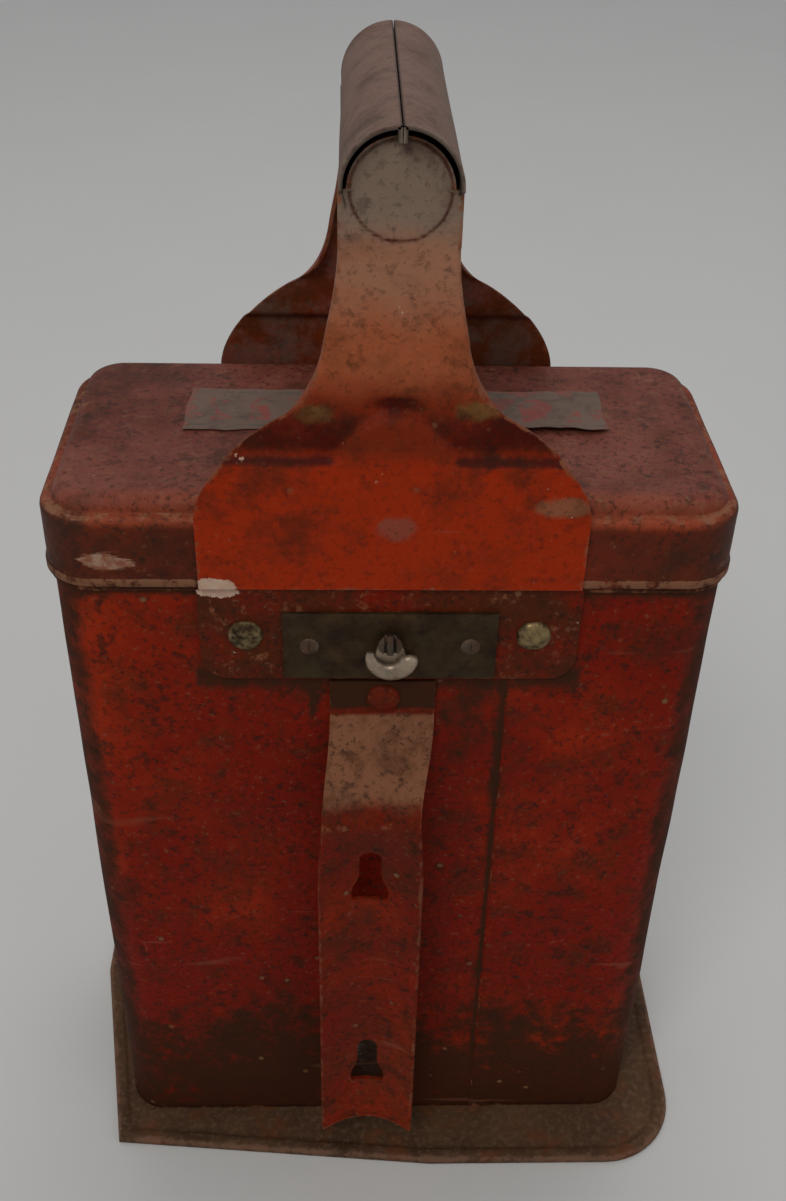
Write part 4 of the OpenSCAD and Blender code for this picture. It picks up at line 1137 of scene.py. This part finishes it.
def strap_profile(z):
    """How far the strap has left the wall, 0 at the tab and 1 on the upright part."""
    run = (STRAP_BEND_Z - z) / (STRAP_BEND_Z - STRAP_SLOPE_Z)
    r = 0.07
    if run < r:
        return (max(run + r, 0) ** 2) / (4 * r)
    if run > 1 - r:
        return 1 - (max(1 + r - run, 0) ** 2) / (4 * r)
    return run


def strap_point(u, z):
    """Front face of the strap at u from -1 to 1 across it."""
    upright = smooth(z, STRAP_SLOPE_Z + 6 * MM, STRAP_SLOPE_Z - 26 * MM)
    hollow = 0.10 * strap_profile(z) + 0.90 * upright
    dish = STRAP_DISH * hollow * 0.92
    wall_y = FRONT_Y - STRAP_T
    edge_y = wall_y + (STRAP_EDGE_Y + 0.6 * MM - wall_y) * strap_profile(z)
    half = STRAP_HALF_W * (1 - 0.04 * smooth(z, STRAP_BEND_Z, STRAP_SLOPE_Z) + 0.05 * upright)
    x = strap_middle(z) + half * u
    y = edge_y + dish * (1 - u * u) - 0.55 * MM * u * upright
    free = smooth(STRAP_BEND_Z - z, 0, 12 * MM)
    y += (0.28 * dent(x, y, z, 26 * MM, 41) + 0.12 * dent(x, y, z, 9 * MM, 42)) * MM * free
    return Vector((x, min(y, wall_y), z))


def strap_normal(u, z):
    """Direction from the front face to the back one."""
    across = strap_point(u + 0.02, z) - strap_point(u - 0.02, z)
    down = strap_point(u, z - 0.3 * MM) - strap_point(u, z + 0.3 * MM)
    back = across.cross(down).normalized()
    return back if back.y > 0 else -back


def keyhole_cutter(z):
    """Prism with the outline of a keyhole: round neck above a wide flat-footed mouth."""
    foot = z + KEYHOLE_NECK_R - KEYHOLE_H
    middle = strap_middle(z)
    outline = [(KEYHOLE_NECK_R * math.cos(math.radians(a)), z + KEYHOLE_NECK_R * math.sin(math.radians(a)))
               for a in range(0, 181, 15)]
    left = [(-KEYHOLE_NECK_R, foot + 11 * MM), (-KEYHOLE_NECK_R - 0.8 * MM, foot + 8.6 * MM),
            (-KEYHOLE_FOOT_R + 0.5 * MM, foot + 6 * MM), (-KEYHOLE_FOOT_R, foot + 3 * MM),
            (-KEYHOLE_FOOT_R + 0.3 * MM, foot + 0.8 * MM), (-KEYHOLE_FOOT_R + 1.1 * MM, foot)]
    outline += left + [(-x, zz) for x, zz in reversed(left)]
    front, back = STRAP_EDGE_Y - 5 * MM, FRONT_Y - 3 * MM
    verts = [(middle + x, front, zz) for x, zz in outline] + [(middle + x, back, zz) for x, zz in outline]
    count = len(outline)
    faces = [tuple(range(count)), tuple(reversed(range(count, 2 * count)))]
    faces += [(i, (i + 1) % count, count + (i + 1) % count, count + i) for i in range(count)]
    return verts, faces


def strap_sheet():
    across = 30
    rows = list(np.arange(STRAP_FOOT_Z, STRAP_TOP_Z, 1.3 * MM)) + [STRAP_TOP_Z]
    steps = [(2 * i / across - 1) for i in range(across + 1)]
    rings, wear, soil, rub = [], [], [], []
    for z in rows:
        front = [strap_point(u, z) for u in steps]
        back = [strap_point(u, z) + strap_normal(u, z) * STRAP_T for u in reversed(steps)]
        back = [Vector((p.x, min(p.y, FRONT_Y - 0.02 * MM), p.z)) for p in back]
        rings.append([tuple(p) for p in front + back])
        for i in range(2 * across + 2):
            u = abs(steps[i if i <= across else 2 * across + 1 - i])
            # The rim and bend wear also paint the highlights along the strap's edges and its lower bend.
            rim = smooth(u, 0.90, 1.0)
            foot = 1 - smooth(z, STRAP_FOOT_Z, STRAP_FOOT_Z + 2 * MM)
            bend = 1 - smooth(abs(z - STRAP_SLOPE_Z), 0.5 * MM, 4 * MM)
            wear.append(max(rim * 0.62, foot * 0.7, bend * 0.5))
            # Painted shadow on the tab under the lock's mounting plate; the strap is also darker along its
            # left edge.
            tab = smooth(z, STRAP_BEND_Z + 1 * MM, STRAP_BEND_Z + 5 * MM)
            side = smooth(-steps[i] if i <= across else 0, 0.7, 1.0) * 0.35
            soil.append(max(tab * 0.85, side))
            # Painted highlight: the slope that faces up is made paler.
            slope = smooth(z, STRAP_SLOPE_Z - 2 * MM, STRAP_SLOPE_Z + 15 * MM)
            rub.append(slope * (1 - smooth(z, STRAP_BEND_Z - 1 * MM, STRAP_BEND_Z + 3 * MM)))
    verts, faces = loft(rings)
    cap = end_caps(len(rings[0]), len(rings), across)
    finish = paint("strap_paint", 0.50, edge=0.8, brown=0.50, highlight_tint=(0.22, 0.092, 0.046))
    marks = {"wear": wear, "soil": soil, "rub": rub}
    piece = make_piece("strap_sheet", verts, faces, finish, marks, cap=cap, sharp=45)
    for z in (KEYHOLE_LOW_Z, KEYHOLE_HIGH_Z):
        cutter = make_piece("keyhole_cutter", *keyhole_cutter(z), finish)
        hole = piece.modifiers.new("keyhole", "BOOLEAN")
        hole.operation = "DIFFERENCE"
        hole.solver = "EXACT"
        hole.object = cutter
        baked(piece)
        bpy.data.objects.remove(cutter)
    piece.data.set_sharp_from_angle(angle=math.radians(45))
    settle(piece, "box", "hanger_strap")


# --- Rivets by geometry nodes ----------------------------------------------------------

class Tree:
    """A geometry-node tree with named inputs, built in code."""

    def __init__(self, name, inputs):
        self.group = bpy.data.node_groups.new(name, "GeometryNodeTree")
        face = self.group.interface
        face.new_socket("Geometry", in_out="INPUT", socket_type="NodeSocketGeometry")
        face.new_socket("Geometry", in_out="OUTPUT", socket_type="NodeSocketGeometry")
        self.keys = {}
        for label, kind in inputs.items():
            socket = face.new_socket(label, in_out="INPUT", socket_type="NodeSocket" + kind)
            self.keys[label] = socket.identifier
        self.start = self.group.nodes.new("NodeGroupInput")
        self.end = self.group.nodes.new("NodeGroupOutput")

    def node(self, kind, settings=None, values=None):
        made = self.group.nodes.new(kind)
        for key, setting in (settings or {}).items():
            setattr(made, key, setting)
        for key, value in (values or {}).items():
            if isinstance(value, bpy.types.NodeSocket):
                self.group.links.new(value, made.inputs[key])
            else:
                made.inputs[key].default_value = value
        return made

    def geo(self, kind, values):
        return self.node("GeometryNode" + kind, {}, values).outputs[0]

    def vector(self, values):
        return self.node("ShaderNodeCombineXYZ", {}, values).outputs[0]

    def given(self, label):
        return self.start.outputs[label]

    def maths(self, operation, first, second=0.0):
        return self.node("ShaderNodeMath", {"operation": operation}, {0: first, 1: second}).outputs[0]

    def finish(self, geometry):
        realized = self.geo("RealizeInstances", {"Geometry": geometry})
        painted = self.geo("SetMaterial", {"Geometry": realized, "Material": self.given("Finish")})
        self.group.links.new(painted, self.end.inputs[0])

    def grow(self, name, points, values):
        """Runs the tree on loose points and returns the result as a plain mesh object."""
        mesh = bpy.data.meshes.new(name)
        mesh.from_pydata([tuple(p) for p in points], [], [])
        piece = bpy.data.objects.new(name, mesh)
        bpy.context.scene.collection.objects.link(piece)
        modifier = piece.modifiers.new("grow", "NODES")
        modifier.node_group = self.group
        for label, value in values.items():
            modifier[self.keys[label]] = value
        baked(piece)
        return piece


def rivet_tree():
    """Domed heads on shanks along Y. Facing is -1 for heads that look to the front."""
    numbers = ("Head radius", "Head height", "Shank radius", "Shank length", "Facing", "Hammering")
    t = Tree("rivet_row", {**dict.fromkeys(numbers, "Float"), "Seed": "Int", "Finish": "Material"})
    ball = t.geo("MeshUVSphere", {"Segments": 32, "Rings": 20, "Radius": 1.0})
    at = t.node("GeometryNodeInputPosition").outputs[0]
    axes = t.node("ShaderNodeSeparateXYZ", {}, {0: at}).outputs
    tall = t.maths("MULTIPLY", t.maths("MAXIMUM", axes[2], 0.0), t.given("Head height"))
    wide_x = t.maths("MULTIPLY", axes[0], t.given("Head radius"))
    wide_y = t.maths("MULTIPLY", axes[1], t.given("Head radius"))
    shaped = t.vector({0: wide_x, 1: wide_y, 2: tall})
    head = t.geo("SetPosition", {"Geometry": ball, "Position": shaped})
    shank_size = {"Radius": t.given("Shank radius"), "Depth": t.given("Shank length")}
    shank = t.geo("MeshCylinder", {"Vertices": 24, **shank_size})
    drop = t.vector({2: t.maths("MULTIPLY", t.given("Shank length"), -0.5)})
    lowered = t.geo("Transform", {"Geometry": shank, "Translation": drop})
    rivet = t.node("GeometryNodeJoinGeometry")
    t.group.links.new(head, rivet.inputs[0])
    t.group.links.new(lowered, rivet.inputs[0])
    turn = t.vector({0: t.maths("MULTIPLY", t.given("Facing"), -math.pi / 2)})
    faced = t.geo("Transform", {"Geometry": rivet.outputs[0], "Rotation": turn})
    placed = t.geo("InstanceOnPoints", {"Points": t.given("Geometry"), "Instance": faced})
    whole = t.geo("RealizeInstances", {"Geometry": placed})
    seed = t.maths("MULTIPLY", t.given("Seed"), 3.7)
    grain = {"Scale": 260.0, "Detail": 2.0, "W": seed}
    uneven = t.node("ShaderNodeTexNoise", {"noise_dimensions": "4D"}, grain).outputs["Color"]
    less_half = {0: uneven, 1: (0.5, 0.5, 0.5)}
    centred = t.node("ShaderNodeVectorMath", {"operation": "SUBTRACT"}, less_half).outputs[0]
    amount = {0: centred, "Scale": t.given("Hammering")}
    scaled = t.node("ShaderNodeVectorMath", {"operation": "SCALE"}, amount).outputs[0]
    beaten = t.geo("SetPosition", {"Geometry": whole, "Offset": scaled})
    merged = t.geo("MergeByDistance", {"Geometry": beaten, "Distance": 0.01 * MM})
    t.finish(t.geo("SetShadeSmooth", {"Geometry": merged, "Shade Smooth": True}))
    return t


def with_wear(piece, value):
    """A plain piece's wear attribute, the same all over."""
    for key, amount in (("wear", value), ("inside", 0.0), ("soil", 0.0), ("rub", 0.0)):
        if key not in piece.data.attributes:
            piece.data.attributes.new(key, "FLOAT", "POINT")
        values = np.full(len(piece.data.vertices), amount, np.float32)
        piece.data.attributes[key].data.foreach_set("value", values)
    return piece


def rivets(name, node, body, count, facing, size, finish, seed, hammering, wear):
    """A row of rivets whose heads sit where the CAD node's do."""
    head_r, head_h, shank_r = size
    lo_corner, hi_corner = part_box(node)
    z = (lo_corner.z + hi_corner.z) / 2
    span = hi_corner.x - lo_corner.x - 2 * head_r
    middle = (lo_corner.x + hi_corner.x) / 2
    xs = [middle] if count == 1 else [middle - span / 2 + span * i / (count - 1) for i in range(count)]
    depth = hi_corner.y - lo_corner.y
    y = lo_corner.y + head_h if facing < 0 else hi_corner.y - head_h
    values = {"Head radius": head_r, "Head height": head_h, "Shank radius": shank_r}
    values.update({"Shank length": depth - head_h, "Facing": facing, "Hammering": hammering * MM})
    values.update({"Seed": seed, "Finish": finish})
    piece = RIVET_TREE.grow(name, [(x, y, z) for x in xs], values)
    piece.data.set_sharp_from_angle(angle=math.radians(50))
    with_wear(piece, wear)
    return settle(piece, body, node)


# --- Latch -----------------------------------------------------------------------------------------------

def swept(path, radii, squash, sides=20):
    """Tube round a path in space; radii at each point, squash flattens it along Y."""
    rings = []
    for i, point in enumerate(path):
        before = Vector(path[max(i - 1, 0)])
        after = Vector(path[min(i + 1, len(path) - 1)])
        ahead = (after - before).normalized()
        side = ahead.cross(Vector((0, 1, 0))).normalized()
        out = side.cross(ahead).normalized()
        ring = []
        for s in range(sides):
            a = 2 * math.pi * s / sides
            spoke = side * radii[i] * math.cos(a) + out * radii[i] * squash * math.sin(a)
            ring.append(tuple(Vector(point) + spoke))
        rings.append(ring)
    return rings


def thumb_piece():
    """Crescent-shaped thumb lever: a pointed horn on the left, a blunt end on the right."""
    half, back_y = high("thumb_lever").x, high("thumb_lever").y
    centre_z = PIVOT_Z - 3.2 * MM
    path, radii = [], []
    steps = 26
    for i in range(steps + 1):
        t = i / steps
        angle = math.radians(172 + 190 * t)
        swell = math.sin(math.pi * min(t * 0.62 + 0.06, 1)) ** 0.8
        end = math.sqrt(max(1 - ((t - 0.90) / 0.10) ** 2, 0.02)) if t > 0.90 else 1
        radii.append((0.35 * MM + 2.5 * MM * swell) * end)
        y = back_y - 2.3 * MM - 0.6 * MM * swell
        path.append(((half - 2.3 * MM) * math.cos(angle), y, centre_z + 6.0 * MM * math.sin(angle)))
    rings = swept(path, radii, 0.62)
    rings = [[path[0]] * 20] + rings + [[path[-1]] * 20]
    horn, horn_faces = loft(rings)
    start = len(horn)
    web_corners = ((-3.2, 0), (3.2, 0), (5.4, -7.4), (-5.0, -7.4))
    web_sides = ((0, 2, 4, 6), (1, 7, 5, 3), (0, 1, 3, 2), (2, 3, 5, 4), (4, 5, 7, 6), (6, 7, 1, 0))
    web = [(x * MM, back_y + y * MM, PIVOT_Z + z * MM) for x, z in web_corners for y in (0.0, -1.6)]
    faces = horn_faces + [tuple(start + i for i in side) for side in web_sides]
    piece = make_piece("thumb_horn", horn + web, faces, STEEL_BRIGHT, sharp=50)
    with_wear(piece, 0.8)
    settle(piece, "latch", "thumb_lever")


def spindle_piece():
    """Slotted spindle head and its shaft."""
    piece = softened("latch_spindle", STEEL_DARK, 0.3 * MM)
    lo_corner = low("latch_spindle")
    for side in (-1, 1):
        verts = []
        for x in (-0.45 * MM, 0.45 * MM):
            for y in (-1 * MM, 1.0 * MM):
                for z in (-3.4 * MM, 3.4 * MM):
                    verts.append((side * 1.35 * MM + x, lo_corner.y + y, PIVOT_Z + z))
        faces = [(0, 1, 3, 2), (4, 6, 7, 5), (0, 4, 5, 1), (2, 3, 7, 6), (0, 2, 6, 4), (1, 5, 7, 3)]
        cutter = make_piece("slot_cutter", verts, faces, STEEL_DULL)
        hole = piece.modifiers.new("slot", "BOOLEAN")
        hole.operation = "DIFFERENCE"
        hole.solver = "EXACT"
        hole.object = cutter
        baked(piece)
        bpy.data.objects.remove(cutter)
    with_wear(piece, 0.5)
    settle(piece, "latch", "latch_spindle")


# --- Build ------------------------------------------------------------------------------------------------

set_camera()
set_studio()

STEEL_DULL = steel("dull_steel")
STEEL_BRIGHT = steel("handled_steel", (0.40, 0.31, 0.22), 0.35, 0.8)
STEEL_RUSTY = steel("rusty_steel", (0.22, 0.19, 0.16), 0.9, 0.0)
STEEL_DARK = steel("dark_steel", (0.13, 0.095, 0.065), 0.5, 0.2)
BRASS_DARK = brass("lock_brass", 0.06)
BRASS_RUBBED = brass("rivet_brass", 0.70)
# Darker paint for the strap's rivet, partly painted shade under the lock's mounting plate.
SHADED_FITTING_PAINT = paint("shaded_fitting_paint", 0.34, brown=0.90)
MOUNT_CREAM = ((-48 * MM, FRONT_Y - 1 * MM, 249 * MM), (8 * MM, 4 * MM, 3 * MM))
MOUNT_PAINT = paint("mount_paint", 0.42, brown=0.90, creams=[MOUNT_CREAM])
HINGE_PAINT = paint("hinge_paint", 0.36, brown=0.8)

body_walls()
base_sheet()
lid_pan()
paper_label()
front_rubs = [
    ((45 * MM, -PLATE_OUT_Y, 278 * MM), (10 * MM, 8 * MM, 5 * MM), DUST, 0.65),
    ((1 * MM, -PLATE_OUT_Y, 271 * MM), (8 * MM, 8 * MM, 6 * MM), (0.15, 0.085, 0.060), 0.45),
    ((-20 * MM, -PLATE_OUT_Y, CREASE_Z + 13 * MM), (9 * MM, 8 * MM, 5 * MM), (0.15, 0.085, 0.025), 0.8),
    ((21 * MM, -PLATE_OUT_Y, CREASE_Z + 14 * MM), (10 * MM, 8 * MM, 5 * MM), (0.15, 0.085, 0.025), 0.8),
]
front_creams = [((-49 * MM, -PLATE_OUT_Y, SKIRT_Z + 1 * MM), (9 * MM, 8 * MM, 3.5 * MM))]
# Painted shade below the neck's root, then painted light that grows paler up the neck towards the disc.
front_light_and_shade_bands = [
    (NECK_ROOT_Z - 15 * MM, NECK_ROOT_Z - 7 * MM, (0.125, 0.017, 0.004), 0.72),
    (NECK_ROOT_Z + 1 * MM, NECK_LOW_Z - 4 * MM, (0.37, 0.100, 0.038), 0.80),
    (NECK_LOW_Z - 2 * MM, NECK_TOP_Z - 6 * MM, (0.32, 0.155, 0.092), 0.85),
    (NECK_TOP_Z - 4 * MM, NECK_TOP_Z + 8 * MM, (0.195, 0.145, 0.108), 0.90),
]
front_finish = paint("front_plate_paint", 0.72, None, front_rubs, front_creams, bands=front_light_and_shade_bands,
                     shade_tint=SHADED_RED, specks=0.55)
handle_plate("front_handle_plate", "lid", "front_handle_bracket", 1, front_finish)
# Painted light that grows paler up the rear neck towards its top.
rear_light_bands = [
    (NECK_ROOT_Z + 1 * MM, NECK_LOW_Z, (0.24, 0.085, 0.045), 0.7),
    (NECK_TOP_Z - 10 * MM, NECK_TOP_Z + 4 * MM, (0.235, 0.180, 0.135), 0.85),
]
rear_finish = paint("rear_plate_paint", 0.40, brown=0.75, bands=rear_light_bands, shade_tint=SHADED_RED)
handle_plate("rear_handle_plate", "lid", "rear_handle_bracket", -1, rear_finish)
grip_roll()
strap_sheet()

# Each row: body, CAD node, finish, bevel in mm and wear
SOFTENED = (
    ("box", "lock_mount_plate", MOUNT_PAINT, 0.35, 0.40),
    ("box", "lock_plate", BRASS_DARK, 0.3, 0.1),
    ("box", "lock_backing_plate", STEEL_RUSTY, 0.25, 0.9),
    ("box", "spring_washer", STEEL_DULL, 0.1, 0.9),
    ("box", "body_floor", STEEL_RUSTY, 0.2, 0.9),
    ("box", "base_rivets", STEEL_DULL, 0.15, 0.9),
    ("box", "lock_screws", STEEL_DARK, 0.12, 0.9),
    ("box", "hinge_body_leaf", HINGE_PAINT, 0.2, 0.3),
    ("box", "hinge_pin", STEEL_DULL, 0.2, 0.9),
    ("lid", "hinge_lid_leaf", HINGE_PAINT, 0.2, 0.3),
    ("lid", "catch_tongue", STEEL_RUSTY, 0.2, 0.9),
    ("latch", "cam_arm", STEEL_DULL, 0.2, 0.9),
    ("latch", "spindle_nut", STEEL_DULL, 0.3, 0.9),
)
for body, node, finish, edge, wear in SOFTENED:
    settle(softened(node, finish, edge * MM, wear), body, node)

RIVET_TREE = rivet_tree()
BIG_RIVET = (5 * MM, 2.2 * MM, 2.4 * MM)
SMALL_RIVET = (2.8 * MM, 1.4 * MM, 1.5 * MM)
rivets("big_rivets", "plate_rivets", "box", 2, -1, BIG_RIVET, BRASS_RUBBED, 3, 0.7, 0.6)
rivets("strap_rivet", "hanger_rivet", "box", 1, -1, BIG_RIVET, SHADED_FITTING_PAINT, 5, 0.6, 0.3)
rivets("leaf_rivets", "hinge_body_rivets", "box", 3, 1, SMALL_RIVET, HINGE_PAINT, 7, 0.3, 0.4)
rivets("lid_leaf_rivets", "hinge_lid_rivets", "lid", 3, 1, SMALL_RIVET, HINGE_PAINT, 9, 0.3, 0.4)
thumb_piece()
spindle_piece()

floor_mesh = bpy.data.meshes.new("pale_floor")
floor_mesh.from_pydata([(-6, -6, 0), (6, -6, 0), (6, 6, 0), (-6, 6, 0)], [], [(0, 1, 2, 3)])
floor_mesh.materials.append(floor_finish())
floor = bpy.data.objects.new("pale_floor", floor_mesh)
bpy.context.scene.collection.objects.link(floor)
